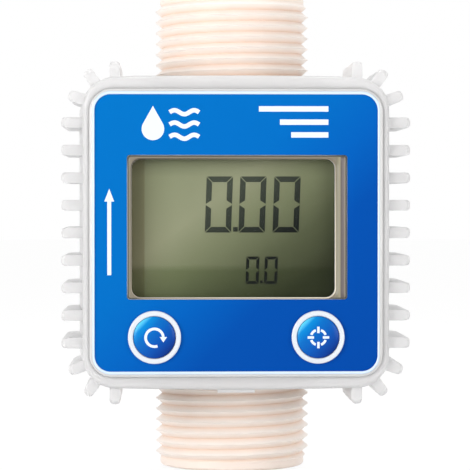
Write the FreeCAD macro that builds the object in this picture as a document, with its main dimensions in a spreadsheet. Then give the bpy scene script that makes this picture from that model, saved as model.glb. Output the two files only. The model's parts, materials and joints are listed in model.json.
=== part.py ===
import FreeCAD, Part
import math
import os
from types import SimpleNamespace

import Sketcher
from FreeCAD import Placement, Rotation, Vector

# In-line turbine flow meter for a one inch pipe.
#
# The pipe runs along Z and liquid flows upwards: inlet at the bottom, outlet at the top.
# The origin lies on the flow axis in the face of the inlet end.  The display looks along -Y.
# Every sub-part is drawn about the middle of the pipe and is then lifted by half the pipe length.
# "Depth" is the distance from the flow axis towards the display, so a depth of 30 is Y = -30.

SIZES = {
    # pipe and measuring chamber
    "pipe_length": 101.6,
    "thread_radius": 16.62,
    "thread_length": 18.2,
    "barrel_radius": 19.0,
    "barrel_edge": 1.0,
    "bore_radius": 12.5,
    "chamber_radius": 11.4,
    "chamber_length": 22.0,
    "arrow_length": 18.0,
    "arrow_head_length": 6.5,
    "arrow_head_width": 7.0,
    "arrow_shaft_width": 2.6,
    "arrow_height": 0.5,
    "fit_gap": 0.05,
    # flow guides, bushes and retaining rings
    "guide_length": 12.0,
    "guide_vane_thickness": 1.2,
    "guide_vane_inset": 1.0,
    "hub_radius": 4.2,
    "bush_radius": 2.4,
    "bush_length": 5.0,
    "groove_depth": 0.8,
    "ring_thickness": 1.2,
    "ring_width": 1.5,
    "ring_opening": 5.0,
    "ring_side_gap": 0.05,
    # rotor
    "rotor_length": 14.0,
    "rotor_end_float": 0.3,
    "rotor_tip_gap": 0.4,
    "rotor_boss_radius": 1.9,
    "rotor_boss_length": 0.8,
    "blade_length": 12.0,
    "blade_thickness": 1.0,
    "blade_lead": 75.0,
    "shaft_radius": 1.0,
    "shaft_length": 25.2,
    "shaft_running_gap": 0.04,
    "magnet_radius": 1.25,
    "magnet_length": 2.3,
    # case: the tub on the body and the front cover on it
    "case_width": 59.8,
    "case_height": 58.7,
    "case_corner": 4.6,
    "case_wall": 2.0,
    "case_back_depth": 6.6,
    "case_floor": 2.3,
    "joint_gap": 0.8,
    "cover_depth": 13.4,
    "cover_front_wall": 2.2,
    "cover_edge_radius": 0.6,
    "seal_thickness": 0.8,
    "seal_width": 1.2,
    "seal_inset": 0.2,
    # label, window and display
    "label_margin_x": 1.0,
    "label_margin_z": 0.9,
    "label_corner": 3.3,
    "label_thickness": 0.3,
    "label_recess": 0.5,
    "label_gap": 0.1,
    "window_left": 6.6,
    "window_right": 6.2,
    "window_top": 12.55,
    "window_bottom": 14.85,
    "window_corner": 0.6,
    "lens_thickness": 1.6,
    "lens_gap": 0.12,
    "aperture_left": 0.93,
    "aperture_right": 2.47,
    "aperture_top": 0.82,
    "aperture_bottom": 0.38,
    "aperture_corner": 1.9,
    "display_overlap_x": 1.9,
    "display_overlap_z": 1.35,
    "display_thickness": 2.4,
    "display_front_gap": 0.2,
    "display_frame_wall": 1.2,
    "display_frame_gap": 0.1,
    "contact_strip_width": 1.6,
    "contact_strip_inset": 1.7,
    # circuit board and what it carries
    "board_thickness": 1.6,
    "board_post_length": 4.9,
    "board_post_radius": 2.2,
    "board_post_x": 12.0,
    "board_post_inset": 4.95,
    "board_edge_gap": 0.6,
    "board_boss_gap": 0.5,
    "board_screw_radius": 0.95,
    "board_screw_length": 4.4,
    "board_screw_head_radius": 1.9,
    "board_screw_head_height": 1.2,
    "chip_side": 8.0,
    "chip_height": 1.5,
    "chip_z": 11.0,
    "crystal_radius": 1.0,
    "crystal_length": 6.0,
    "crystal_z": -11.0,
    "sensor_width": 4.0,
    "sensor_thickness": 3.0,
    "sensor_length": 3.2,
    "sensor_leg_width": 0.5,
    "sensor_leg_pitch": 1.27,
    "sensor_well_radius": 2.8,
    "sensor_well_wall": 2.8,
    "sensor_end_gap": 0.2,
    # push buttons and their switches
    "button_inset_x": 13.2,
    "button_inset_z": 8.05,
    "button_radius": 4.2,
    "button_slide_gap": 0.1,
    "button_hole_gap": 0.3,
    "button_height": 1.1,
    "button_dome": 0.9,
    "button_flange_width": 0.7,
    "button_flange_thickness": 0.6,
    "button_wall_gap": 0.3,
    "button_stem_radius": 1.6,
    "button_stem_length": 0.3,
    "button_ring_width": 1.0,
    "button_ring_seat": 1.0,
    "button_ring_height": 0.45,
    "button_ring_edge": 0.3,
    "button_ring_gap": 0.1,
    "switch_side": 6.0,
    "switch_height": 2.7,
    "plunger_radius": 1.7,
    "plunger_gap": 0.3,
    "plunger_sunk": 1.3,
    "plunger_room": 0.8,
    # cells and their contacts
    "cell_radius": 5.25,
    "cell_end_room": 4.35,
    "cell_edge": 0.35,
    "cell_nub_radius": 1.9,
    "cell_nub_length": 0.8,
    "cell_wall_gap": 0.3,
    "cell_floor_gap": 0.25,
    "cell_spring_length": 1.5,
    "cell_spring_thickness": 0.3,
    "cell_spring_span": 7.0,
    "cell_spring_width": 3.0,
    "contact_width": 8.0,
    "contact_thickness": 0.4,
    "contact_tail_width": 2.0,
    "contact_height": 9.6,
    "bay_rib_width": 10.0,
    "bay_rib_thickness": 1.2,
    # case screws
    "screw_inset": 3.3,
    "screw_boss_radius": 2.6,
    "screw_radius": 1.25,
    "screw_length": 17.0,
    "screw_head_radius": 2.1,
    "screw_head_height": 1.5,
    "screw_hole_gap": 0.25,
    "screw_sunk": 1.9,
    # boot
    "boot_side_wall": 1.4,
    "boot_end_wall": 2.35,
    "boot_corner": 6.5,
    "boot_bulge": 0.35,
    "boot_draft": 3.5,
    "boot_front_step": 0.5,
    "boot_front_edge": 0.9,
    "boot_gap": 0.1,
    "boot_lip_thickness": 1.6,
    "boot_lip_width": 2.6,
    "boot_pipe_gap": 0.3,
    "boot_scallop_radius": 3.2,
    "boot_tab_width": 7.6,
    "boot_tab_height": 0.65,
    "boot_tab_depth": 2.4,
    "rib_thickness": 2.2,
    "rib_height": 4.5,
    "rib_row_margin": 1.55,
    "rib_corner_height": 3.45,
    "rib_root": 0.6,
    "rib_front_step": 1.4,
    "rib_front_slope": 0.7,
    "rib_back_step": 0.6,
    "rib_back_radius": 2.4,
}

GUIDE_VANES = 4
ROTOR_BLADES = 6
BLADE_SECTIONS = 5
SIDE_RIBS = 9
CORNER_RIB_ANGLES = (18, 54, 90)


class Size:
    """A number that remembers the sheet formula it comes from, so one sum serves both."""

    def __init__(self, value, formula):
        self.value = value
        self.formula = formula

    def __add__(self, other):
        other = as_size(other)
        return Size(self.value + other.value, f"({self.formula} + {other.formula})")

    def __sub__(self, other):
        other = as_size(other)
        return Size(self.value - other.value, f"({self.formula} - {other.formula})")

    def __mul__(self, other):
        other = as_size(other)
        return Size(self.value * other.value, f"({self.formula} * {other.formula})")

    def __truediv__(self, other):
        other = as_size(other)
        return Size(self.value / other.value, f"({self.formula} / {other.formula})")

    def __radd__(self, other):
        return as_size(other) + self

    def __rsub__(self, other):
        return as_size(other) - self

    def __rmul__(self, other):
        return as_size(other) * self

    def __neg__(self):
        return Size(-self.value, f"(0 - {self.formula})")


def as_size(number):
    if isinstance(number, Size):
        return number
    return Size(float(number), f"({float(number):.6f})")


def make_sheet(doc):
    """The spreadsheet of driving sizes, and the same sizes by name for the sums below."""
    sheet = doc.addObject("Spreadsheet::Sheet", "sizes")
    for row, (alias, value) in enumerate(SIZES.items(), start=1):
        sheet.set(f"A{row}", alias)
        sheet.set(f"B{row}", str(value))
        sheet.setAlias(f"B{row}", alias)
    doc.recompute()
    return SimpleNamespace(**{a: Size(float(sheet.get(a)), f"sizes.{a}") for a in SIZES})


doc = FreeCAD.newDocument("turbine_flow_meter")
s = make_sheet(doc)

# ------------------------------------------------------------------ derived places

half_pipe = s.pipe_length / 2
half_barrel = half_pipe - s.thread_length
half_chamber = s.chamber_length / 2
guide_end = half_chamber + s.guide_length
groove_end = guide_end + s.ring_thickness + 2 * s.ring_side_gap
groove_radius = s.bore_radius + s.groove_depth
bush_face = s.rotor_length / 2 + s.rotor_boss_length + s.rotor_end_float
rotor_radius = s.chamber_radius - s.rotor_tip_gap

floor_depth = s.case_back_depth + s.case_floor
joint_depth = s.barrel_radius + s.joint_gap
cover_front_depth = joint_depth + s.cover_depth
cover_back_depth = joint_depth + s.seal_thickness
label_seat_depth = cover_front_depth - s.label_recess
cover_inner_depth = label_seat_depth - s.cover_front_wall
lens_seat_depth = label_seat_depth - s.lens_thickness
board_front_depth = cover_inner_depth - s.board_post_length
board_back_depth = board_front_depth - s.board_thickness
display_front_depth = cover_inner_depth - s.display_front_gap
display_back_depth = display_front_depth - s.display_thickness
inner_width = s.case_width - 2 * s.case_wall
inner_height = s.case_height - 2 * s.case_wall
inner_corner = s.case_corner - s.case_wall
screw_x = s.case_width / 2 - s.screw_inset
screw_z = s.case_height / 2 - s.screw_inset
sensor_well_depth = s.chamber_radius + s.sensor_well_wall

label_width = s.case_width - 2 * s.label_margin_x
label_height = s.case_height - 2 * s.label_margin_z
window_width = label_width - s.window_left - s.window_right
window_height = label_height - s.window_top - s.window_bottom
window_x = (s.window_left - s.window_right) / 2
window_z = (s.window_bottom - s.window_top) / 2
aperture_width = window_width - s.aperture_left - s.aperture_right
aperture_height = window_height - s.aperture_top - s.aperture_bottom
aperture_x = window_x + (s.aperture_left - s.aperture_right) / 2
aperture_z = window_z + (s.aperture_bottom - s.aperture_top) / 2
display_width = aperture_width + 2 * s.display_overlap_x
display_height = aperture_height + 2 * s.display_overlap_z
board_post_z = inner_height / 2 - s.board_post_inset
button_x = s.case_width / 2 - s.button_inset_x
button_z = s.button_inset_z - s.case_height / 2

cell_x = inner_width / 2 - s.cell_wall_gap - s.cell_radius
cell_depth = floor_depth + s.cell_floor_gap + s.cell_radius
half_bay = inner_height / 2 - s.cell_end_room
cell_length = 2 * half_bay - s.cell_spring_length

ring_seat_depth = label_seat_depth - s.button_ring_seat
ring_inner_radius = s.button_radius + s.button_slide_gap
ring_outer_radius = ring_inner_radius + s.button_ring_width
switch_top_depth = board_front_depth + s.switch_height
flange_front_depth = cover_inner_depth - s.button_wall_gap
flange_back_depth = flange_front_depth - s.button_flange_thickness
stem_end_depth = flange_back_depth - s.button_stem_length

boot_front_depth = cover_front_depth - s.boot_front_step
boot_back_depth = s.case_back_depth - s.boot_lip_thickness
boot_width = s.case_width + 2 * s.boot_side_wall
boot_height = s.case_height + 2 * s.boot_end_wall
boot_corner_x = boot_width / 2 - s.boot_corner
boot_corner_z = boot_height / 2 - s.boot_corner
rib_row = 2 * (boot_corner_z - s.rib_row_margin) - s.rib_thickness


# ------------------------------------------------------------------ drawing helpers


def bind(item, prop, size):
    """Ties a property to the sheet."""
    item.setExpression(prop, as_size(size).formula)


def new_body(label, x=0, z=0):
    """A body drawn about the middle of the pipe, or about a point x, z from it."""
    body = doc.addObject("PartDesign::Body", label)
    body.Label = label
    body.AllowCompound = True
    bind(body, "Placement.Base.x", x)
    bind(body, "Placement.Base.z", half_pipe + z)
    return body


def origin_part(body, role):
    return next(part for part in body.Origin.OriginFeatures if part.Role == role)


def new_sketch(body, name, role, offset=0):
    """A sketch on one of the body's own planes, moved along the plane's normal."""
    sketch = body.newObject("Sketcher::SketchObject", name)
    sketch.AttachmentSupport = (origin_part(body, role), "")
    sketch.MapMode = "FlatFace"
    bind(sketch, "AttachmentOffset.Base.z", offset)
    return sketch


def at_depth(body, name, depth):
    """A sketch that faces the display at this depth; its axes are X and Z."""
    return new_sketch(body, name, "XZ_Plane", depth)


def constrain(sketch, kind, *where, size):
    index = sketch.addConstraint(Sketcher.Constraint(kind, *where, size.value))
    sketch.setExpression(f"Constraints[{index}]", size.formula)


def place_point(sketch, geometry, point, x, y):
    """Holds a point at x, y from the sketch origin, or on an axis where one of them is 0."""
    for kind, axis, size in (("DistanceX", -2, as_size(x)), ("DistanceY", -1, as_size(y))):
        if size.value == 0:
            sketch.addConstraint(Sketcher.Constraint("PointOnObject", geometry, point, axis))
        else:
            constrain(sketch, kind, -1, 1, geometry, point, size=size)


def draw_circle(sketch, radius, x=0, y=0):
    middle = Vector(as_size(x).value, as_size(y).value, 0)
    circle = sketch.addGeometry(Part.Circle(middle, Vector(0, 0, 1), radius.value), False)
    place_point(sketch, circle, 3, x, y)
    constrain(sketch, "Radius", circle, size=radius)


def arc_between(start, end, radius):
    """Arc of this radius; a positive radius bulges to the right of the way from start to end."""
    chord = end - start
    side = Vector(-chord.y, chord.x, 0).normalize()
    reach = math.sqrt(radius * radius - chord.Length ** 2 / 4)
    centre = (start + end) / 2 + side * math.copysign(reach, radius)
    crown = centre + (start + end - centre * 2).normalize() * abs(radius)
    return Part.Arc(start, crown, end)


def draw_outline(sketch, points):
    """Closed outline. A point is (x, y), or (x, y, radius) where an arc leads to the next point."""
    first = sketch.GeometryCount
    corners = [Vector(as_size(p[0]).value, as_size(p[1]).value, 0) for p in points]
    for here, there, point in zip(corners, corners[1:] + corners[:1], points):
        if len(point) == 3:
            sketch.addGeometry(arc_between(here, there, point[2].value), False)
        else:
            sketch.addGeometry(Part.LineSegment(here, there), False)
    ends = []
    for index, point in enumerate(points):
        clockwise_arc = len(point) == 3 and point[2].value < 0
        ends.append((first + index, 2, 1) if clockwise_arc else (first + index, 1, 2))
    for (edge, start, _), point in zip(ends, points):
        place_point(sketch, edge, start, point[0], point[1])
    for (edge, _, end), (following, start, _) in zip(ends, ends[1:] + ends[:1]):
        sketch.addConstraint(Sketcher.Constraint("Coincident", edge, end, following, start))
    for (edge, _, _), point in zip(ends, points):
        if len(point) == 3:
            radius = point[2] if point[2].value > 0 else -point[2]
            constrain(sketch, "Radius", edge, size=radius)


def draw_rectangle(sketch, width, height, x=0, y=0):
    left, right = x - width / 2, x + width / 2
    low, high = y - height / 2, y + height / 2
    draw_outline(sketch, [(left, low), (right, low), (right, high), (left, high)])


def draw_rounded(sketch, width, height, corner, x=0, y=0):
    """Rectangle with four equal corner arcs, centred on x, y."""
    left, right = x - width / 2, x + width / 2
    low, high = y - height / 2, y + height / 2
    draw_outline(sketch, [
        (left + corner, low), (right - corner, low, corner),
        (right, low + corner), (right, high - corner, corner),
        (right - corner, high), (left + corner, high, corner),
        (left, high - corner), (left, low + corner, corner),
    ])


def extrude(body, kind, sketch, length, along=True, symmetric=False):
    """A pad or pocket. along=True goes the way the sketch faces."""
    feature = body.newObject(f"PartDesign::{kind}", f"{sketch.Name}_{kind.lower()}")
    feature.Profile = sketch
    bind(feature, "Length", length)
    feature.Reversed = along == (kind == "Pocket") and not symmetric
    if symmetric:
        feature.SideType = "Symmetric"
    body.Tip = feature
    doc.recompute()
    return feature


def pad(body, sketch, length, **how):
    return extrude(body, "Pad", sketch, length, **how)


def pocket(body, sketch, length, **how):
    """Cuts, and checks that something was cut."""
    before = body.Shape.Volume
    feature = extrude(body, "Pocket", sketch, length, **how)
    if body.Shape.Volume >= before:
        raise RuntimeError(f"{feature.Name} cuts nothing")
    return feature


def turn(body, kind, name, points, role="XZ_Plane"):
    """A revolution or groove of an outline about the upright axis of its sketch."""
    sketch = new_sketch(body, name, role)
    draw_outline(sketch, points)
    feature = body.newObject(f"PartDesign::{kind}", f"{name}_{kind.lower()}")
    feature.Profile = sketch
    feature.ReferenceAxis = (sketch, ["V_Axis"])
    body.Tip = feature
    doc.recompute()
    return feature


def repeat_round(body, feature, count, role="Z_Axis"):
    """Copies a feature round one of the body's own axes."""
    pattern = body.newObject("PartDesign::PolarPattern", f"{feature.Name}_round")
    pattern.Originals = [feature]
    pattern.Axis = (origin_part(body, role), [""])
    pattern.Angle = 360
    pattern.Occurrences = count
    body.Tip = pattern
    doc.recompute()
    return pattern


def mirror_all(body, features, roles, steps=()):
    """Mirrors features about the body's own planes, after any steps of a pattern."""
    name = f"{features[0].Name}_set"
    transform = body.newObject("PartDesign::MultiTransform", name)
    transform.Originals = features
    mirrors = []
    for role in roles:
        mirror = body.newObject("PartDesign::Mirrored", f"{name}_{role[:2]}")
        mirror.MirrorPlane = (origin_part(body, role), [""])
        mirrors.append(mirror)
    transform.Transformations = list(steps) + mirrors
    body.Tip = transform
    doc.recompute()
    return transform


def round_edges(body, radius, chosen):
    """Fillets the edges of the body that the test picks."""
    base = body.Tip
    edges = [f"Edge{n}" for n, edge in enumerate(base.Shape.Edges, start=1) if chosen(edge)]
    fillet = body.newObject("PartDesign::Fillet", f"{body.Name}_round")
    fillet.Base = (base, edges)
    bind(fillet, "Radius", radius)
    body.Tip = fillet
    doc.recompute()
    return fillet


def lies_at_depth(edge, depth, tolerance=0.001):
    box = edge.BoundBox
    return abs(box.YMin + depth.value) < tolerance and abs(box.YMax + depth.value) < tolerance


# ------------------------------------------------------------------ pipe body and tub


def add_tub(body):
    """Shallow square tub on the display side: room for the cells beside the measuring chamber."""
    outer = at_depth(body, "tub_outline", s.case_back_depth)
    draw_rounded(outer, s.case_width, s.case_height, s.case_corner)
    pad(body, outer, joint_depth - s.case_back_depth)
    inner = at_depth(body, "tub_room", joint_depth)
    draw_rounded(inner, inner_width, inner_height, inner_corner)
    pocket(body, inner, joint_depth - floor_depth, along=False)


def add_barrel(body):
    """Measuring barrel with a plain spigot at each end that carries the pipe thread."""
    spigot, barrel = s.thread_radius, s.barrel_radius
    rim = barrel - s.barrel_edge
    turn(body, "Revolution", "barrel", [
        (0, -half_pipe), (spigot, -half_pipe), (spigot, -half_barrel), (rim, -half_barrel),
        (barrel, s.barrel_edge - half_barrel), (barrel, half_barrel - s.barrel_edge),
        (rim, half_barrel), (spigot, half_barrel), (spigot, half_pipe), (0, half_pipe),
    ])


def add_tub_fittings(body):
    """Corner bosses for the case screws and end ribs that hold the cell contacts."""
    bosses = at_depth(body, "boss_circles", s.case_back_depth)
    draw_circle(bosses, s.screw_boss_radius, screw_x, screw_z)
    boss = pad(body, bosses, joint_depth - s.case_back_depth)
    ribs = at_depth(body, "bay_rib", s.case_back_depth)
    rib_x = inner_width / 2 - s.bay_rib_width / 2
    rib_z = half_bay + s.contact_thickness + s.bay_rib_thickness / 2
    overlap = s.case_wall / 2
    draw_rectangle(ribs, s.bay_rib_width + overlap, s.bay_rib_thickness, rib_x + overlap / 2, rib_z)
    rib = pad(body, ribs, joint_depth - s.case_back_depth)
    mirror_all(body, [boss, rib], ("YZ_Plane", "XY_Plane"))


def cut_bore(body):
    """Flow bore: a wide port at each end, a shoulder for each guide and a groove for its ring."""
    bore, deep, chamber = s.bore_radius, groove_radius, s.chamber_radius
    turn(body, "Groove", "bore", [
        (0, -half_pipe), (bore, -half_pipe), (bore, -groove_end), (deep, -groove_end),
        (deep, -guide_end), (bore, -guide_end), (bore, -half_chamber), (chamber, -half_chamber),
        (chamber, half_chamber), (bore, half_chamber), (bore, guide_end), (deep, guide_end),
        (deep, groove_end), (bore, groove_end), (bore, half_pipe), (0, half_pipe),
    ])


def cut_sensor_well(body):
    """Blind well from the tub into the chamber wall, where the pickup sits close to the rotor."""
    well = at_depth(body, "sensor_well", s.barrel_radius + s.fit_gap)
    draw_circle(well, s.sensor_well_radius)
    pocket(body, well, s.barrel_radius + s.fit_gap - sensor_well_depth, along=False)


def cut_screw_holes(body):
    """Clearance holes with a sunk seat for each screw head, from the back."""
    holes = at_depth(body, "screw_holes", joint_depth)
    draw_circle(holes, s.screw_radius + s.screw_hole_gap, screw_x, screw_z)
    hole = pocket(body, holes, joint_depth - s.case_back_depth, along=False)
    seats = at_depth(body, "screw_seats", s.case_back_depth)
    draw_circle(seats, s.screw_head_radius + s.screw_hole_gap, screw_x, screw_z)
    seat = pocket(body, seats, s.screw_sunk, along=True)
    mirror_all(body, [hole, seat], ("YZ_Plane", "XY_Plane"))


def add_flow_arrow(body):
    """Raised arrow on the back of the barrel, pointing from inlet to outlet."""
    sketch = at_depth(body, "flow_arrow", -s.barrel_radius - s.arrow_height)
    tip, tail = s.arrow_length / 2, -s.arrow_length / 2
    neck = tip - s.arrow_head_length
    shaft, head = s.arrow_shaft_width / 2, s.arrow_head_width / 2
    draw_outline(sketch, [
        (-shaft, tail), (shaft, tail), (shaft, neck), (head, neck),
        (0, tip), (-head, neck), (-shaft, neck),
    ])
    pad(body, sketch, 4 * s.arrow_height)


def make_meter_body():
    body = new_body("meter_body")
    add_tub(body)
    add_barrel(body)
    add_tub_fittings(body)
    cut_bore(body)
    cut_sensor_well(body)
    cut_screw_holes(body)
    add_flow_arrow(body)
    return body


# ------------------------------------------------------------------ flow guides and rotor


def make_guide(label, tilt):
    """Ring with straight vanes and a hub with a rounded nose; the bush sits in the hub."""
    body = new_body(label)
    body.Placement.Rotation = Rotation(Vector(1, 0, 0), tilt)
    outer = s.bore_radius - s.fit_gap
    turn(body, "Revolution", "guide_ring", [
        (s.chamber_radius, half_chamber), (outer, half_chamber),
        (outer, guide_end), (s.chamber_radius, guide_end),
    ])
    hub = s.hub_radius
    turn(body, "Revolution", "guide_hub", [
        (0, bush_face), (hub, bush_face), (hub, guide_end, hub), (0, guide_end + hub),
    ])
    vane = new_sketch(body, "guide_vane", "XY_Plane", half_chamber + s.guide_vane_inset)
    vane_inner = s.hub_radius / 2
    vane_outer = s.chamber_radius + s.fit_gap
    draw_rectangle(vane, vane_outer - vane_inner, s.guide_vane_thickness,
                   (vane_outer + vane_inner) / 2, 0)
    first = pad(body, vane, s.guide_length - 2 * s.guide_vane_inset)
    repeat_round(body, first, GUIDE_VANES)
    room = new_sketch(body, "bush_room", "XY_Plane", bush_face)
    draw_circle(room, s.bush_radius + s.fit_gap)
    pocket(body, room, s.bush_length + s.fit_gap, along=True)
    return body


def make_bush(label, tilt):
    body = new_body(label)
    body.Placement.Rotation = Rotation(Vector(1, 0, 0), tilt)
    section = new_sketch(body, "bush_section", "XY_Plane", bush_face)
    draw_circle(section, s.bush_radius)
    draw_circle(section, s.shaft_radius + s.shaft_running_gap)
    pad(body, section, s.bush_length)
    return body


def make_retaining_rings():
    """Open spring rings, one in the groove outside each guide."""
    body = new_body("retaining_rings")
    outer = groove_radius - s.fit_gap
    inner = outer - s.ring_width
    section = new_sketch(body, "ring_section", "XY_Plane", guide_end + s.ring_side_gap)
    draw_circle(section, outer)
    draw_circle(section, inner)
    ring = pad(body, section, s.ring_thickness)
    opening = new_sketch(body, "ring_opening", "XY_Plane", guide_end)
    draw_rectangle(opening, s.ring_opening, 2 * s.ring_width, 0, outer - s.ring_width / 2)
    cut = pocket(body, opening, groove_end - guide_end, along=True)
    mirror_all(body, [ring, cut], ("XY_Plane",))
    return body


def make_turbine_rotor():
    """Hub with twisted blades: each blade is lofted through sections turned along the axis."""
    body = new_body("turbine_rotor")
    half, boss = s.rotor_length / 2, s.rotor_boss_length
    turn(body, "Revolution", "rotor_hub", [
        (0, -half - boss), (s.rotor_boss_radius, -half - boss), (s.rotor_boss_radius, -half),
        (s.hub_radius, -half), (s.hub_radius, half), (s.rotor_boss_radius, half),
        (s.rotor_boss_radius, half + boss), (0, half + boss),
    ])
    root = s.hub_radius / 2
    sections = []
    for number in range(BLADE_SECTIONS):
        share = number / (BLADE_SECTIONS - 1) - 0.5
        height = s.blade_length * share
        section = new_sketch(body, f"blade_section_{number}", "XY_Plane", height)
        section.AttachmentOffset = Placement(Vector(0, 0, height.value), Rotation(Vector(0, 0, 1), 1))
        bind(section, "AttachmentOffset.Base.z", height)
        bind(section, "AttachmentOffset.Rotation.Angle", 360 * height / s.blade_lead)
        draw_rectangle(section, rotor_radius - root, s.blade_thickness, (rotor_radius + root) / 2, 0)
        sections.append(section)
    blade = body.newObject("PartDesign::AdditiveLoft", "blade")
    blade.Profile = sections[0]
    blade.Sections = sections[1:]
    body.Tip = blade
    doc.recompute()
    repeat_round(body, blade, ROTOR_BLADES)
    shaft_hole = new_sketch(body, "shaft_hole", "XY_Plane", half + boss)
    draw_circle(shaft_hole, s.shaft_radius + s.fit_gap / 2)
    pocket(body, shaft_hole, 2 * (half + boss), along=False)
    magnet_hole = new_sketch(body, "magnet_hole", "XZ_Plane", s.hub_radius)
    draw_circle(magnet_hole, s.magnet_radius + s.fit_gap)
    hole = pocket(body, magnet_hole, s.magnet_length + s.fit_gap, along=False)
    mirror_all(body, [hole], ("XZ_Plane",))
    return body


def make_rotor_shaft():
    body = new_body("rotor_shaft")
    half, edge = s.shaft_length / 2, s.shaft_radius / 4
    turn(body, "Revolution", "shaft_outline", [
        (0, -half), (s.shaft_radius - edge, -half), (s.shaft_radius, edge - half),
        (s.shaft_radius, half - edge), (s.shaft_radius - edge, half), (0, half),
    ])
    return body


def make_rotor_magnets():
    """Two small magnets, pressed into opposite sides of the rotor hub between the blades."""
    body = new_body("rotor_magnets")
    face = at_depth(body, "magnet_face", s.hub_radius - s.magnet_length)
    draw_circle(face, s.magnet_radius)
    magnet = pad(body, face, s.magnet_length)
    mirror_all(body, [magnet], ("XZ_Plane",))
    return body


# ------------------------------------------------------------------ front cover, seal and boot


def add_cover_shell(body):
    outer = at_depth(body, "cover_outline", cover_back_depth)
    draw_rounded(outer, s.case_width, s.case_height, s.case_corner)
    pad(body, outer, cover_front_depth - cover_back_depth)
    round_edges(body, s.cover_edge_radius, lambda edge: lies_at_depth(edge, cover_front_depth))
    inner = at_depth(body, "cover_room", cover_back_depth)
    draw_rounded(inner, inner_width, inner_height, inner_corner)
    pocket(body, inner, cover_inner_depth - cover_back_depth, along=True)
    recess = at_depth(body, "label_recess", cover_front_depth)
    draw_rounded(recess, label_width + 2 * s.label_gap, label_height + 2 * s.label_gap,
                 s.label_corner + s.label_gap)
    pocket(body, recess, s.label_recess, along=False)


def add_cover_openings(body):
    """Stepped window for the lens and the display, and a stepped hole for each button."""
    rebate = at_depth(body, "lens_rebate", label_seat_depth)
    draw_rounded(rebate, window_width, window_height, s.window_corner, window_x, window_z)
    pocket(body, rebate, s.lens_thickness, along=False)
    opening = at_depth(body, "display_opening", lens_seat_depth)
    draw_rounded(opening, aperture_width, aperture_height, s.aperture_corner,
                 aperture_x, aperture_z)
    pocket(body, opening, lens_seat_depth - cover_inner_depth, along=False)
    seat = at_depth(body, "ring_seat", label_seat_depth)
    draw_circle(seat, ring_outer_radius + s.button_ring_gap, button_x, button_z)
    seat_cut = pocket(body, seat, s.button_ring_seat, along=False)
    hole = at_depth(body, "button_hole", ring_seat_depth)
    draw_circle(hole, s.button_radius + s.button_hole_gap, button_x, button_z)
    hole_cut = pocket(body, hole, ring_seat_depth - cover_inner_depth, along=False)
    mirror_all(body, [seat_cut, hole_cut], ("YZ_Plane",))


def add_cover_bosses(body):
    """Corner bosses for the case screws and three posts for the circuit board."""
    circle = at_depth(body, "cover_boss", cover_back_depth)
    draw_circle(circle, s.screw_boss_radius, screw_x, screw_z)
    boss = pad(body, circle, cover_inner_depth - cover_back_depth + s.cover_front_wall / 2)
    bore = at_depth(body, "cover_boss_bore", cover_back_depth)
    draw_circle(bore, s.screw_radius + s.fit_gap, screw_x, screw_z)
    screw_reach = s.case_back_depth + s.screw_sunk + s.screw_length
    pilot = pocket(body, bore, screw_reach + s.fit_gap - cover_back_depth, along=True)
    mirror_all(body, [boss, pilot], ("YZ_Plane", "XY_Plane"))
    posts = at_depth(body, "board_posts", board_front_depth)
    draw_at_posts(posts, s.board_post_radius)
    pad(body, posts, s.board_post_length + s.cover_front_wall / 2)
    bores = at_depth(body, "board_post_bores", board_front_depth)
    draw_at_posts(bores, s.board_screw_radius + s.fit_gap)
    pocket(body, bores, s.board_screw_length - s.board_thickness + s.fit_gap, along=True)


def draw_at_posts(sketch, radius):
    """A circle at each of the three board posts."""
    draw_circle(sketch, radius, -s.board_post_x, board_post_z)
    draw_circle(sketch, radius, s.board_post_x, board_post_z)
    draw_circle(sketch, radius, 0, button_z)


def make_front_cover():
    body = new_body("front_cover")
    add_cover_shell(body)
    add_cover_openings(body)
    add_cover_bosses(body)
    return body


def make_case_seal():
    body = new_body("case_seal")
    section = at_depth(body, "seal_section", joint_depth)
    width, height = s.case_width - 2 * s.seal_inset, s.case_height - 2 * s.seal_inset
    corner = s.case_corner - s.seal_inset
    draw_rounded(section, width, height, corner)
    draw_rounded(section, width - 2 * s.seal_width, height - 2 * s.seal_width, corner - s.seal_width)
    pad(body, section, s.seal_thickness)
    return body


def make_case_screws():
    """Four screws from the back, one in each corner."""
    body = new_body("case_screws")
    seat = s.case_back_depth + s.screw_sunk
    head = at_depth(body, "screw_head", seat - s.screw_head_height)
    draw_circle(head, s.screw_head_radius, screw_x, screw_z)
    head_pad = pad(body, head, s.screw_head_height)
    shank = at_depth(body, "screw_shank", seat - s.screw_head_height / 2)
    draw_circle(shank, s.screw_radius, screw_x, screw_z)
    shank_pad = pad(body, shank, s.screw_length + s.screw_head_height / 2)
    mirror_all(body, [head_pad, shank_pad], ("YZ_Plane", "XY_Plane"))
    return body


def draw_boot_outline(sketch):
    """Rounded rectangle whose upper and lower sides bow outwards a little."""
    corner, crown, half = s.boot_corner, s.boot_bulge, boot_corner_x
    right, high, upright = boot_width / 2, boot_height / 2, boot_corner_z
    sweep = (half * half + crown * crown) / (2 * crown)
    draw_outline(sketch, [
        (-half, -high, sweep), (half, -high, corner), (right, -upright), (right, upright, corner),
        (half, high, sweep), (-half, high, corner), (-right, upright), (-right, -upright, corner),
    ])


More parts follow.
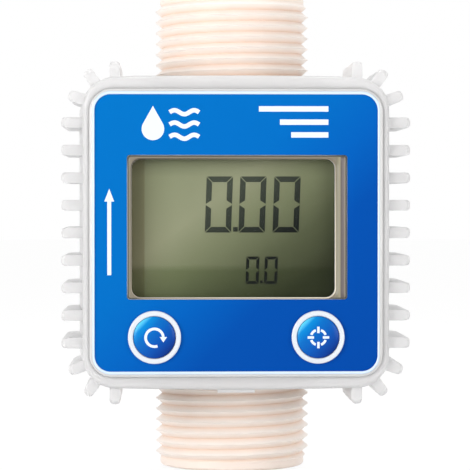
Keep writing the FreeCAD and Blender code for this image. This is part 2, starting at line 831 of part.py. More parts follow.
def add_boot_sleeve(body):
    """Sleeve round the case that widens to the back, with a lip that hooks over the tub."""
    outer = at_depth(body, "boot_outline", boot_front_depth)
    draw_boot_outline(outer)
    drafted = pad(body, outer, boot_front_depth - boot_back_depth, along=False)
    bind(drafted, "TaperAngle", s.boot_draft)
    room = at_depth(body, "boot_room", s.case_back_depth)
    draw_rounded(room, s.case_width + 2 * s.boot_gap, s.case_height + 2 * s.boot_gap,
                 s.case_corner + s.boot_gap)
    pocket(body, room, boot_front_depth - s.case_back_depth, along=True)
    mouth = at_depth(body, "boot_mouth", boot_back_depth)
    draw_rounded(mouth, s.case_width - 2 * s.boot_lip_width, s.case_height - 2 * s.boot_lip_width,
                 s.case_corner - s.boot_lip_width)
    pocket(body, mouth, s.boot_lip_thickness, along=True)
    scallop = at_depth(body, "boot_scallop", boot_back_depth)
    draw_circle(scallop, s.boot_scallop_radius, screw_x, screw_z)
    cut = pocket(body, scallop, s.boot_lip_thickness, along=True)
    mirror_all(body, [cut], ("YZ_Plane", "XY_Plane"))


def draw_rib(sketch, wall, height):
    """Side view of a rib: blunt at the front, straight along the tip, rounded at the back."""
    root, tip, turn_in = wall - s.rib_root, wall + height, s.rib_back_radius
    front, back = s.rib_front_step - boot_front_depth, -boot_back_depth - s.rib_back_step
    draw_outline(sketch, [
        (root, front), (tip - s.rib_front_slope, front), (tip, front + s.rib_front_slope),
        (tip, back - turn_in, turn_in), (tip - turn_in, back), (root, back),
    ])


def add_side_ribs(body):
    """A row of fins on the left and right walls."""
    sketch = new_sketch(body, "side_rib", "XY_Plane", -rib_row / 2)
    draw_rib(sketch, boot_width / 2, s.rib_height)
    rib = pad(body, sketch, s.rib_thickness, symmetric=True)
    row = body.newObject("PartDesign::LinearPattern", "side_rib_row")
    row.Direction = (origin_part(body, "Z_Axis"), [""])
    row.Occurrences = SIDE_RIBS
    bind(row, "Length", rib_row)
    mirror_all(body, [rib], ("YZ_Plane",), steps=[row])


def add_corner_ribs(body):
    """Three fins that spread from the centre of each rounded corner."""
    ribs = []
    for angle in CORNER_RIB_ANGLES:
        sketch = new_sketch(body, f"corner_rib_{angle}", "XY_Plane")
        sketch.AttachmentOffset = Placement(Vector(), Rotation(Vector(0, -1, 0), angle))
        bind(sketch, "AttachmentOffset.Base.x", boot_corner_x)
        bind(sketch, "AttachmentOffset.Base.z", boot_corner_z)
        draw_rib(sketch, s.boot_corner, s.rib_corner_height)
        ribs.append(pad(body, sketch, s.rib_thickness, symmetric=True))
    mirror_all(body, ribs, ("YZ_Plane", "XY_Plane"))


def cut_pipe_notch(body):
    """Round notch in the top and bottom walls where the barrel passes."""
    notch = new_sketch(body, "pipe_notch", "XY_Plane")
    draw_circle(notch, s.barrel_radius + s.boot_pipe_gap)
    pocket(body, notch, 2 * boot_height, symmetric=True)


def add_pull_tab(body):
    """Small tab under the middle of the lower edge, for pulling the boot off."""
    tab = at_depth(body, "pull_tab", boot_front_depth - s.boot_front_edge - s.boot_tab_depth)
    crown = boot_height / 2 + s.boot_bulge
    draw_rectangle(tab, s.boot_tab_width, 2 * s.boot_tab_height, 0, -crown)
    pad(body, tab, s.boot_tab_depth)


def make_protective_boot():
    body = new_body("protective_boot")
    add_boot_sleeve(body)
    round_edges(body, s.boot_front_edge, is_boot_front_edge)
    add_side_ribs(body)
    add_corner_ribs(body)
    add_pull_tab(body)
    cut_pipe_notch(body)
    return body


def is_boot_front_edge(edge):
    """The outer edges of the boot's front face."""
    box = edge.BoundBox
    outside = max(abs(box.XMin), abs(box.XMax)) > (s.case_width / 2 + s.boot_gap).value + 0.01
    beyond = max(abs(box.ZMin), abs(box.ZMax)) > (s.case_height / 2 + s.boot_gap).value + 0.01
    return lies_at_depth(edge, boot_front_depth) and (outside or beyond)


# ------------------------------------------------------------------ label, lens and display


def make_face_label():
    """Printed film with a cut-out for the window and for each button ring."""
    body = new_body("face_label")
    film = at_depth(body, "label_outline", label_seat_depth)
    draw_rounded(film, label_width, label_height, s.label_corner)
    draw_rounded(film, window_width, window_height, s.window_corner, window_x, window_z)
    hole = ring_outer_radius + s.button_ring_gap
    draw_circle(film, hole, -button_x, button_z)
    draw_circle(film, hole, button_x, button_z)
    pad(body, film, s.label_thickness)
    return body


def make_window_lens():
    body = new_body("window_lens")
    plate = at_depth(body, "lens_outline", lens_seat_depth)
    draw_rounded(plate, window_width - 2 * s.lens_gap, window_height - 2 * s.lens_gap,
                 s.window_corner, window_x, window_z)
    pad(body, plate, s.lens_thickness + s.label_thickness / 2)
    return body


def make_display_panel():
    body = new_body("display_panel")
    glass = at_depth(body, "display_outline", display_back_depth)
    draw_rectangle(glass, display_width, display_height, aperture_x, aperture_z)
    pad(body, glass, s.display_thickness)
    return body


def make_display_frame():
    """Frame that holds the display against the cover and stands on the board."""
    body = new_body("display_frame")
    section = at_depth(body, "frame_section", board_front_depth)
    inner_w = display_width + 2 * s.display_frame_gap
    inner_h = display_height + 2 * s.display_frame_gap
    wall = 2 * s.display_frame_wall
    draw_rectangle(section, inner_w + wall, inner_h + wall, aperture_x, aperture_z)
    draw_rectangle(section, inner_w, inner_h, aperture_x, aperture_z)
    pad(body, section, display_front_depth - board_front_depth)
    return body


def make_display_contacts():
    """Two rubber strips that carry the signals from the board to the display."""
    body = new_body("display_contacts")
    strips = at_depth(body, "strip_section", board_front_depth)
    reach = display_height / 2 - s.contact_strip_width
    for side in (-1, 1):
        draw_rectangle(strips, display_width - 2 * s.contact_strip_inset, s.contact_strip_width,
                       aperture_x, aperture_z + side * reach)
    pad(body, strips, display_back_depth - board_front_depth)
    return body


# ------------------------------------------------------------------ circuit board


def make_circuit_board():
    body = new_body("circuit_board")
    board = at_depth(body, "board_outline", board_back_depth)
    draw_rectangle(board, inner_width - 2 * s.board_edge_gap, inner_height - 2 * s.board_edge_gap)
    pad(body, board, s.board_thickness)
    corner = at_depth(body, "board_corner", board_front_depth)
    draw_circle(corner, s.screw_boss_radius + s.board_boss_gap, screw_x, screw_z)
    notch = pocket(body, corner, s.board_thickness, along=False)
    mirror_all(body, [notch], ("YZ_Plane", "XY_Plane"))
    holes = at_depth(body, "board_holes", board_front_depth)
    draw_at_posts(holes, s.board_screw_radius + 2 * s.fit_gap)
    pocket(body, holes, s.board_thickness, along=False)
    return body


def make_board_screws():
    body = new_body("board_screws")
    heads = at_depth(body, "board_screw_heads", board_back_depth - s.board_screw_head_height)
    draw_at_posts(heads, s.board_screw_head_radius)
    pad(body, heads, s.board_screw_head_height)
    shanks = at_depth(body, "board_screw_shanks", board_back_depth - s.board_screw_head_height / 2)
    draw_at_posts(shanks, s.board_screw_radius)
    pad(body, shanks, s.board_screw_length + s.board_screw_head_height / 2)
    return body


def make_controller_chip():
    body = new_body("controller_chip")
    outline = at_depth(body, "chip_outline", board_back_depth - s.chip_height)
    draw_rectangle(outline, s.chip_side, s.chip_side, 0, s.chip_z)
    pad(body, outline, s.chip_height)
    return body


def make_clock_crystal():
    """Small can that lies along X on the back of the board."""
    crystal = doc.addObject("Part::Cylinder", "clock_crystal")
    crystal.Label = "clock_crystal"
    crystal.Placement = Placement(Vector(), Rotation(Vector(0, 1, 0), 90))
    bind(crystal, "Radius", s.crystal_radius)
    bind(crystal, "Height", s.crystal_length)
    bind(crystal, "Placement.Base.x", -s.crystal_length / 2)
    bind(crystal, "Placement.Base.y", s.crystal_radius - board_back_depth)
    bind(crystal, "Placement.Base.z", half_pipe + s.crystal_z)
    return crystal


def make_pickup_sensor():
    """Magnetic pickup at the bottom of its well, on three legs from the board."""
    body = new_body("pickup_sensor")
    near = sensor_well_depth + s.sensor_end_gap
    case = at_depth(body, "sensor_case", near)
    draw_rectangle(case, s.sensor_width, s.sensor_thickness)
    pad(body, case, s.sensor_length)
    legs = at_depth(body, "sensor_legs", near + s.sensor_length / 2)
    for number in (-1, 0, 1):
        draw_rectangle(legs, s.sensor_leg_width, s.sensor_leg_width, number * s.sensor_leg_pitch, 0)
    pad(body, legs, board_back_depth - near - s.sensor_length / 2)
    return body


# ------------------------------------------------------------------ buttons and switches


def make_button(label, side):
    """Domed cap with a flange behind the cover wall and a short stem on the switch plunger."""
    body = new_body(label, side * button_x, button_z)
    radius, flange = s.button_radius, s.button_radius + s.button_flange_width
    shoulder = cover_front_depth + s.button_height - s.button_dome
    dome_radius = (radius * radius + s.button_dome * s.button_dome) / (2 * s.button_dome)
    turn(body, "Revolution", "button_outline", [
        (0, -stem_end_depth), (0, -shoulder - s.button_dome, dome_radius), (radius, -shoulder),
        (radius, -flange_front_depth), (flange, -flange_front_depth), (flange, -flange_back_depth),
        (s.button_stem_radius, -flange_back_depth), (s.button_stem_radius, -stem_end_depth),
    ], role="XY_Plane")
    return body


def make_button_ring(label, side):
    """Trim ring set into the cover round the button; the cap slides in it."""
    body = new_body(label, side * button_x, button_z)
    inner, outer, edge = ring_inner_radius, ring_outer_radius, s.button_ring_edge
    top = -cover_front_depth - s.button_ring_height
    turn(body, "Revolution", "ring_outline", [
        (inner, -ring_seat_depth), (inner, top + edge), (inner + edge, top),
        (outer - edge, top), (outer, top + edge), (outer, -ring_seat_depth),
    ], role="XY_Plane")
    return body


def make_switch(label, side):
    """Square switch on the board with a round well for its plunger."""
    body = new_body(label, side * button_x, button_z)
    case = at_depth(body, "switch_case", board_front_depth)
    draw_rectangle(case, s.switch_side, s.switch_side)
    pad(body, case, s.switch_height)
    well = at_depth(body, "plunger_well", switch_top_depth)
    draw_circle(well, s.plunger_radius + s.plunger_gap)
    pocket(body, well, s.plunger_sunk + s.plunger_room, along=False)
    return body


def make_plunger(label, side):
    """Plunger of a switch, from inside its well up to the stem of the button."""
    body = new_body(label, side * button_x, button_z)
    base = at_depth(body, "plunger_base", switch_top_depth - s.plunger_sunk)
    draw_circle(base, s.plunger_radius)
    pad(body, base, stem_end_depth - switch_top_depth + s.plunger_sunk)
    return body


# ------------------------------------------------------------------ cells


def make_cell(label, side):
    """Round cell with its nub; the right-hand one lies the other way up."""
    body = new_body(label, side * cell_x, -side * s.cell_spring_length / 2)
    body.Placement.Rotation = Rotation(Vector(0, 1, 0), 0 if side < 0 else 180)
    bind(body, "Placement.Base.y", -cell_depth)
    radius, edge, half = s.cell_radius, s.cell_edge, cell_length / 2
    shoulder = half - s.cell_nub_length
    turn(body, "Revolution", "cell_outline", [
        (0, -half), (radius - edge, -half), (radius, edge - half), (radius, shoulder - edge),
        (radius - edge, shoulder), (s.cell_nub_radius, shoulder), (s.cell_nub_radius, half), (0, half),
    ])
    return body


def make_cell_contacts():
    """Sheet contacts at both ends of each bay, each with a tail up to the board."""
    body = new_body("cell_contacts")
    plate = new_sketch(body, "contact_outline", "XY_Plane", half_bay)
    low = -floor_depth
    top, end = low - s.contact_height, -board_back_depth
    half, tail = s.contact_width / 2, s.contact_tail_width / 2
    draw_outline(plate, [
        (cell_x - half, low), (cell_x - half, top), (cell_x - tail, top), (cell_x - tail, end),
        (cell_x + tail, end), (cell_x + tail, top), (cell_x + half, top), (cell_x + half, low),
    ])
    contact = pad(body, plate, s.contact_thickness)
    mirror_all(body, [contact], ("YZ_Plane", "XY_Plane"))
    return body


def make_cell_springs():
    """Bowed leaf springs at the flat end of each cell: low on the left, high on the right."""
    body = new_body("cell_springs")
    leaf = new_sketch(body, "leaf_outline", "YZ_Plane", -cell_x)
    reach, thick, half = s.cell_spring_length, s.cell_spring_thickness, s.cell_spring_span / 2
    bow = reach - thick
    radius = (half * half + bow * bow) / (2 * bow)
    foot = -half_bay
    draw_outline(leaf, [
        (-cell_depth - half, foot), (-cell_depth + half, foot),
        (-cell_depth + half, foot + thick, radius), (-cell_depth, foot + reach, radius),
        (-cell_depth - half, foot + thick),
    ])
    spring = pad(body, leaf, s.cell_spring_width, symmetric=True)
    repeat_round(body, spring, 2, "Y_Axis")
    return body


# ------------------------------------------------------------------ the whole meter


def make_all():
    parts = [
        make_meter_body(),
        make_guide("inlet_guide", 180), make_guide("outlet_guide", 0),
        make_bush("inlet_bush", 180), make_bush("outlet_bush", 0),
        make_retaining_rings(),
        make_turbine_rotor(), make_rotor_shaft(), make_rotor_magnets(),
        make_front_cover(), make_case_seal(), make_case_screws(), make_protective_boot(),
        make_face_label(), make_window_lens(),
        make_display_panel(), make_display_frame(), make_display_contacts(),
        make_circuit_board(), make_board_screws(), make_controller_chip(), make_clock_crystal(),
        make_pickup_sensor(),
        make_cell("left_cell", -1), make_cell("right_cell", 1),
        make_cell_contacts(), make_cell_springs(),
    ]
    for name, side in (("reset", -1), ("calibration", 1)):
        parts.append(make_button(f"{name}_button", side))
        parts.append(make_button_ring(f"{name}_button_ring", side))
        parts.append(make_switch(f"{name}_switch", side))
        parts.append(make_plunger(f"{name}_switch_plunger", side))
    return parts


def check_and_write(parts):
    """Stops on any failed object or bad shape, then writes one file for each sub-part."""
    failed = [o.Name for o in doc.Objects if {"Invalid", "Error"} & set(o.State)]
    failed += [p.Label for p in parts if p.Shape.isNull() or not p.Shape.isValid()]
    if failed:
        raise RuntimeError(f"failed: {failed}")
    os.makedirs("parts", exist_ok=True)
    for part in parts:
        part.Shape.exportStep(f"parts/{part.Label}.step")
        print(f"{part.Label}: {len(part.Shape.Solids)} solid(s), {part.Shape.Volume:.1f} mm3")


all_parts = make_all()
doc.recompute()
check_and_write(all_parts)
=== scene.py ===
# %% [markdown]
# # Dressing a turbine flow meter
# A meter of this kind is a plastic pipe with a square head on its front.  The solids of every part
# arrive ready made from CAD.  This lesson gives them their finish, cuts the real thread on the
# pipe ends, rounds the ribs of the soft boot and puts figures on the display.

import json
import math

import bmesh
import bpy
import numpy as np
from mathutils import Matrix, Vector


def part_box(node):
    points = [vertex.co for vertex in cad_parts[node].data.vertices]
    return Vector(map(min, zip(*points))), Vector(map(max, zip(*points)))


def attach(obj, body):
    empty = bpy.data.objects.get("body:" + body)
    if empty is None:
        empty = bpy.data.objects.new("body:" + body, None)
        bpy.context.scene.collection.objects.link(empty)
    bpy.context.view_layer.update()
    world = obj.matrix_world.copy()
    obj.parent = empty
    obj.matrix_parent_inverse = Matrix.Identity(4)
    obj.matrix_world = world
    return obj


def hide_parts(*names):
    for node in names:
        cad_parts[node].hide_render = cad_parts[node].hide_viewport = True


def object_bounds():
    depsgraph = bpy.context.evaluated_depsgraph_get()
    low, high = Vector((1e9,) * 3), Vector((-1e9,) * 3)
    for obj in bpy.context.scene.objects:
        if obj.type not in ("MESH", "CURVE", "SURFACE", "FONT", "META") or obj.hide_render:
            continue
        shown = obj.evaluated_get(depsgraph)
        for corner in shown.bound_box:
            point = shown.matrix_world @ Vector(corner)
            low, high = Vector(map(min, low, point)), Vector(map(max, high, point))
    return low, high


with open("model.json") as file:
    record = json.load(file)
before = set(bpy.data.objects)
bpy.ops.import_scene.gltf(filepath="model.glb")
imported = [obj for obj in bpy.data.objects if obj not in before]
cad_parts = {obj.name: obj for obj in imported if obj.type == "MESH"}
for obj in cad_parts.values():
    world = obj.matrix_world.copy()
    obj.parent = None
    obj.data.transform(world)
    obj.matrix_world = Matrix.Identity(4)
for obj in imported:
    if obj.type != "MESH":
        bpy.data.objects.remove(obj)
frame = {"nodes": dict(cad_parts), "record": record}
nodes = frame["nodes"]
cad_box = [list(corner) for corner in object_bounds()]
MM = 0.001
print("CAD box in mm:", [[round(v / MM, 2) for v in corner] for corner in cad_box])

# %% [markdown]
# ## The camera first
# The meter is seen straight on, from half a metre away, by an eye a little to the left of its
# middle and a little above it.  A long lens keeps the case square.  The camera is placed before
# anything is made, so that every later look is from the same spot.

# %% Camera
EYE = Vector((-14.2, -505.0, 57.2)) * MM
AIM = Vector((0.7, 0.0, 49.9)) * MM
camera = bpy.data.objects.new("camera", bpy.data.cameras.new("camera"))
bpy.context.scene.collection.objects.link(camera)
camera.location = EYE
camera.rotation_euler = (AIM - EYE).to_track_quat("-Z", "Y").to_euler()
camera.data.lens = 177.3
camera.data.sensor_width = 36.0
camera.data.clip_start = 0.01
bpy.context.scene.camera = camera
print("field of view in degrees:", round(math.degrees(camera.data.angle), 2))

# %% [markdown]
# ## A pale room
# A product on white needs a floor and a world that look white to the eye, while the light that
# reaches the object stays plain.  Light Path tells what a ray is for, so the floor can be almost
# paper white to the eye and in mirrors and clear plates, and still take the object's shadow.

# %% The pale world
def paper_white(tree, shader, share, strength):
    """Mixes the shader with white emission, for camera, glossy and transmission rays only.

    The mix is share times the largest of Is Camera Ray, Is Glossy Ray and Is Transmission Ray."""
    links = tree.links
    path = tree.nodes.new("ShaderNodeLightPath")
    seen = path.outputs["Is Camera Ray"]
    for ray in ("Is Glossy Ray", "Is Transmission Ray"):
        larger = tree.nodes.new("ShaderNodeMath")
        larger.operation = "MAXIMUM"
        links.new(seen, larger.inputs[0])
        links.new(path.outputs[ray], larger.inputs[1])
        seen = larger.outputs[0]
    amount = tree.nodes.new("ShaderNodeMath")
    amount.operation = "MULTIPLY"
    amount.inputs[1].default_value = share
    links.new(seen, amount.inputs[0])
    kind = "ShaderNodeBackground" if shader.type == "BACKGROUND" else "ShaderNodeEmission"
    white = tree.nodes.new(kind)
    white.inputs["Color"].default_value = (1, 1, 1, 1)
    white.inputs["Strength"].default_value = strength
    mix = tree.nodes.new("ShaderNodeMixShader")
    links.new(amount.outputs[0], mix.inputs[0])
    links.new(shader.outputs[0], mix.inputs[1])
    links.new(white.outputs[0], mix.inputs[2])
    return mix


world = bpy.data.worlds.new("pale_room")
bpy.context.scene.world = world
world.use_nodes = True
sky = world.node_tree
sky.nodes["Background"].inputs["Color"].default_value = (1.0, 0.995, 0.985, 1)
sky.nodes["Background"].inputs["Strength"].default_value = 0.5
sky.links.new(paper_white(sky, sky.nodes["Background"], 1.0, 1.0).outputs[0],
              sky.nodes["World Output"].inputs["Surface"])
print("world nodes:", len(sky.nodes))

# %% [markdown]
# ## The floor
# The floor is one large sheet of matt paper a hair below the meter's lower end, so that it takes
# a soft shadow and never touches the plastic.  It is stage, not part of the object.

# %% Floor
FLOOR_REACH = 3.0
FLOOR_GAP = 0.3

floor_paint = bpy.data.materials.new("floor_paper")
floor_paint.use_nodes = True
paper = floor_paint.node_tree
paper.nodes["Principled BSDF"].inputs["Base Color"].default_value = (0.9, 0.9, 0.9, 1)
paper.nodes["Principled BSDF"].inputs["Roughness"].default_value = 0.9
paper.links.new(paper_white(paper, paper.nodes["Principled BSDF"], 0.9, 1.04).outputs[0],
                paper.nodes["Material Output"].inputs["Surface"])

corners = np.array([(-1, -1, 0), (1, -1, 0), (1, 1, 0), (-1, 1, 0)]) * FLOOR_REACH
floor_mesh = bpy.data.meshes.new("floor")
floor_mesh.from_pydata(corners, [], [(0, 1, 2, 3)])
floor = bpy.data.objects.new("floor", floor_mesh)
floor.location.z = cad_box[0][2] - FLOOR_GAP * MM
floor.data.materials.append(floor_paint)
bpy.context.scene.collection.objects.link(floor)
print("floor at z in mm:", round(floor.location.z / MM, 2))

# %% [markdown]
# ## Soft studio light
# A large lamp on the left, a little above the meter, lets the ribs on the right and the lower
# walls fall a little darker.  A second, weaker lamp on the right keeps the shadows open, and a
# third from behind brightens the top.

# %% Lamps
def soft_lamp(name, place, aim, size, watts, tint):
    """A square area lamp at place that looks at aim; places and size in millimetres."""
    light = bpy.data.lights.new(name, "AREA")
    light.shape = "SQUARE"
    light.size = size * MM
    light.energy = watts
    light.color = tint
    lamp = bpy.data.objects.new(name, light)
    bpy.context.scene.collection.objects.link(lamp)
    lamp.location = Vector(place) * MM
    way = (Vector(aim) - Vector(place)).normalized()
    lamp.rotation_euler = way.to_track_quat("-Z", "Y").to_euler()


soft_lamp("key_lamp", (-640, -560, 210), (0, 0, 50), 420, 4.4, (1.0, 0.985, 0.975))
soft_lamp("fill_lamp", (560, -520, 60), (0, 0, 50), 520, 3.3, (1.0, 0.985, 0.98))
soft_lamp("top_lamp", (60, 180, 620), (0, 0, 60), 420, 1.4, (1.0, 1.0, 1.0))

# %% [markdown]
# ## Materials from a few building blocks
# Every finish here starts as a Principled shader.  What makes it a real surface is small: colour
# that drifts by a few percent, roughness that isn't even, and a bump at the scale of the mould's
# texture.  All patterns read Object coordinates, because each piece keeps its place in its mesh.

# %% Colours and the basic finish
def srgb(red, green, blue):
    """Screen values from 0 to 255 as linear light: ((c + 0.055) / 1.055) to the power 2.4."""
    c = np.array([red, green, blue]) / 255.0
    linear = np.where(c <= 0.04045, c / 12.92, ((c + 0.055) / 1.055) ** 2.4)
    return tuple(float(v) for v in linear) + (1.0,)


def shade(color, factor):
    """The same colour, lighter or darker by a factor, alpha kept."""
    return tuple(min(1.0, channel * factor) for channel in color[:3]) + (1.0,)


def finish(name, color, roughness, drift=0.04, grain=1500.0, bump=0.0, patch=90.0, **sockets):
    """A Principled material whose colour drifts over patches and whose skin has a fine grain.

    patch and grain are noise scales per metre, drift is the share by which the colour changes,
    and bump is the height of the grain in millimetres."""
    material = bpy.data.materials.new(name)
    material.use_nodes = True
    tree = material.node_tree
    shader = tree.nodes["Principled BSDF"]
    for socket, value in sockets.items():
        shader.inputs[socket.replace("_", " ")].default_value = value
    where = tree.nodes.new("ShaderNodeTexCoord")
    blotches = tree.nodes.new("ShaderNodeTexNoise")
    blotches.inputs["Scale"].default_value = patch
    blotches.inputs["Detail"].default_value = 3.0
    tree.links.new(where.outputs["Object"], blotches.inputs["Vector"])
    tint = tree.nodes.new("ShaderNodeValToRGB")
    tint.color_ramp.elements[0].position = 0.3
    tint.color_ramp.elements[1].position = 0.7
    tint.color_ramp.elements[0].color = shade(color, 1 - drift)
    tint.color_ramp.elements[1].color = shade(color, 1 + drift)
    tree.links.new(blotches.outputs["Fac"], tint.inputs["Fac"])
    tree.links.new(tint.outputs["Color"], shader.inputs["Base Color"])
    skin = tree.nodes.new("ShaderNodeTexNoise")
    skin.inputs["Scale"].default_value = grain
    skin.inputs["Detail"].default_value = 2.0
    tree.links.new(where.outputs["Object"], skin.inputs["Vector"])
    rough = tree.nodes.new("ShaderNodeMapRange")
    rough.inputs["To Min"].default_value = max(0.02, roughness - 0.05)
    rough.inputs["To Max"].default_value = roughness + 0.05
    tree.links.new(skin.outputs["Fac"], rough.inputs["Value"])
    tree.links.new(rough.outputs["Result"], shader.inputs["Roughness"])
    if bump:
        relief = tree.nodes.new("ShaderNodeBump")
        relief.inputs["Strength"].default_value = 1.0
        relief.inputs["Distance"].default_value = bump * MM
        tree.links.new(skin.outputs["Fac"], relief.inputs["Height"])
        tree.links.new(relief.outputs["Normal"], shader.inputs["Normal"])
    return material


print("mid grey in linear light:", round(srgb(128, 128, 128)[0], 3))

# %% [markdown]
# ## Plastics that let light in
# Nylon, the clear cover and silicone all take some light in and give it back close by.  That is
# what subsurface weight is for: the weight says how much, and the scale how far in metres.  The
# silicone also lets a little light right through.

# %% Soft, milky plastics
cream = finish("cream_nylon", srgb(249, 240, 233), 0.42, drift=0.012, bump=0.003,
               Subsurface_Weight=0.25, Subsurface_Scale=0.004)
milky = finish("milky_cover", srgb(226, 226, 226), 0.22, drift=0.02, bump=0.002, Coat_Weight=0.3,
               Subsurface_Weight=0.35, Subsurface_Scale=0.004)
silicone = finish("boot_silicone", srgb(243, 243, 244), 0.34, drift=0.015, bump=0.002,
                  Subsurface_Weight=0.65, Subsurface_Scale=0.008, Transmission_Weight=0.22, IOR=1.41,
                  Alpha=0.9)
for soft, reach in ((cream, (1.0, 0.9, 0.85)), (milky, (1.0, 1.0, 1.0)), (silicone, (1.0, 1.0, 1.0))):
    soft.node_tree.nodes["Principled BSDF"].inputs["Subsurface Radius"].default_value = reach
print("milky plastics:", cream.name, milky.name, silicone.name)

# %% [markdown]
# ## Finishes for the parts that CAD already has right
# The head is closed, so most parts are seen only when it is taken apart.  They still get what the
# real ones have: green lacquer on the board, black epoxy on the chips, a printed jacket on the
# cells and bright metal on springs and screws.

# %% Plain finishes
plain = {
    "guide_plastic": finish("guide_acetal", srgb(232, 230, 222), 0.45, bump=0.003),
    "bush": finish("bush_plastic", srgb(70, 70, 74), 0.5, bump=0.002),
    "steel": finish("screw_steel", srgb(190, 190, 192), 0.28, drift=0.06, Metallic=1.0),
    "rotor_plastic": finish("rotor_plastic", srgb(58, 62, 68), 0.4, bump=0.002),
    "magnet": finish("magnet_plating", srgb(176, 176, 180), 0.25, Metallic=1.0),
    "seal": finish("seal_rubber", srgb(44, 44, 45), 0.7, bump=0.004),
    "frame_plastic": finish("frame_plastic", srgb(206, 204, 196), 0.5, bump=0.003),
    "contact_rubber": finish("contact_strip_rubber", srgb(170, 120, 130), 0.6, bump=0.004),
    "board": finish("board_lacquer", srgb(28, 110, 62), 0.3, drift=0.12, patch=400.0, bump=0.004),
    "chip": finish("chip_epoxy", srgb(38, 38, 40), 0.55, bump=0.004),
    "cell_jacket": finish("cell_jacket", srgb(52, 54, 60), 0.25, Coat_Weight=0.4),
    "contact_metal": finish("contact_sheet", srgb(200, 192, 172), 0.3, drift=0.06, Metallic=1.0),
    "plunger_plastic": finish("plunger_plastic", srgb(40, 40, 40), 0.5, bump=0.002),
    "ring_plastic": finish("ring_plastic", srgb(218, 224, 231), 0.3, Coat_Weight=0.3),
    "button_plastic": finish("button_blue", srgb(8, 110, 205), 0.2, Coat_Weight=0.4),
}


def wear(piece, material):
    """Gives the whole piece one material."""
    mesh = piece.data
    mesh.materials.clear()
    mesh.materials.append(material)
    mesh.polygons.foreach_set("material_index", np.zeros(len(mesh.polygons), dtype=np.int32))


for part in frame["record"]["subparts"]:
    if part["material_slot"] in plain:
        wear(nodes[part["node"]], plain[part["material_slot"]])
print("plain finishes:", len(plain))

# %% [markdown]
# ## Meshes from arrays
# A turned part is a profile carried round an axis, and a thread is a pipe whose radius changes
# with height and angle.  Both are a grid of points, so one helper turns any grid into a mesh.

# %% Grid helper
def grid_faces(rows, columns):
    """Four-sided faces between neighbours of a rows by columns grid, as one array.

    Each face joins point (r, c) to (r, c+1), (r+1, c+1) and (r+1, c), and the last column joins
    the first one."""
    r, c = np.meshgrid(np.arange(rows - 1), np.arange(columns), indexing="ij")
    nxt = (c + 1) % columns
    quads = np.stack([r * columns + c, r * columns + nxt,
                      (r + 1) * columns + nxt, (r + 1) * columns + c], axis=-1)
    return quads.reshape(-1, 4)


def mesh_from(name, points, faces):
    """A mesh from an array of points and an array of equal faces, set as whole arrays."""
    mesh = bpy.data.meshes.new(name)
    sides = faces.shape[1]
    mesh.vertices.add(len(points))
    mesh.vertices.foreach_set("co", np.ascontiguousarray(points, dtype=np.float32).ravel())
    mesh.loops.add(faces.size)
    mesh.loops.foreach_set("vertex_index", np.ascontiguousarray(faces, dtype=np.int32).ravel())
    mesh.polygons.add(len(faces))
    mesh.polygons.foreach_set("loop_start", np.arange(0, faces.size, sides, dtype=np.int32))
    mesh.update(calc_edges=True)
    mesh.validate()
    return mesh


def show(name, mesh, body, material):
    """Links a finished mesh as a piece that rides on a body."""
    piece = bpy.data.objects.new(name, mesh)
    bpy.context.scene.collection.objects.link(piece)
    wear(piece, material)
    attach(piece, body)
    return piece


print("faces of a tube of 3 rows and 12 columns:", len(grid_faces(3, 12)))

# %% [markdown]
# ## Room for the pipe thread
# The solid has a plain spigot at each end, where the real one carries a one inch parallel pipe
# thread with eleven turns to the inch.  A copy of the body loses the spigots' outer walls and end
# faces, and keeps the bore, so that the threaded sleeves fit in their place.

# %% Copy the body without its plain spigots
PITCH = 25.4 / 11
CREST, ROOT, BORE = 16.62, 15.12, 12.5
THREAD_LENGTH = 18.2
NEAR = 0.01
pipe_low, pipe_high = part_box("meter_body")
mid = (pipe_low.z + pipe_high.z) / 2 / MM
half_pipe = (pipe_high.z - pipe_low.z) / 2 / MM
shoulder = half_pipe - THREAD_LENGTH

shell = bmesh.new()
shell.from_mesh(nodes["meter_body"].data)
bmesh.ops.remove_doubles(shell, verts=shell.verts, dist=1e-6)
spigot_faces = []
for face in shell.faces:
    centre = face.calc_center_median() / MM
    from_middle = abs(centre.z - mid)
    radius = math.hypot(centre.x, centre.y)
    on_spigot = from_middle > shoulder - NEAR and BORE + 2 * NEAR < radius < CREST + NEAR
    if on_spigot and (radius > ROOT or abs(from_middle - half_pipe) < NEAR):
        spigot_faces.append(face)
bmesh.ops.delete(shell, geom=spigot_faces, context="FACES")
body_mesh = bpy.data.meshes.new("pipe_body")
shell.to_mesh(body_mesh)
shell.free()
print("plain spigot faces taken away:", len(spigot_faces))

# %% [markdown]
# ## The wave of a thread
# A thread is a cylinder whose radius follows a wave; the wave is shifted along the pipe by one
# pitch for each turn round it.  A thread moulded in plastic has soft flanks and a crest that is
# broader than a knife's, so the wave is a triangle with its corners taken off.

# %% The wave
SWELL, STRETCH, SINK, SLIMMER = 0.045, 1.06, 0.03, 1.1


def wave(phase):
    """Height of the thread from 0 at the root to 1 at the crest, for a phase in turns.

    A triangle wave plus swell x the sine of its own full turn, then stretched and sunk a little,
    so that root and crest are cut flat, and raised to a power that slims the flanks."""
    rise = 1 - np.abs(2 * (phase % 1.0) - 1)
    soft = rise + SWELL * np.sin(2 * math.pi * rise)
    return np.clip(STRETCH * soft - SINK, 0, 1) ** SLIMMER


print("wave from root to crest:", wave(np.linspace(0, 0.5, 6)).round(2))

# %% [markdown]
# ## The threaded sleeve and its ends
# At the shoulder the thread simply stops.  At the free end it fades into a plain ring with a
# rounded edge, so that it starts easily in its nut.  Both come from two limits between which the
# radius is held, so one formula makes the whole sleeve.

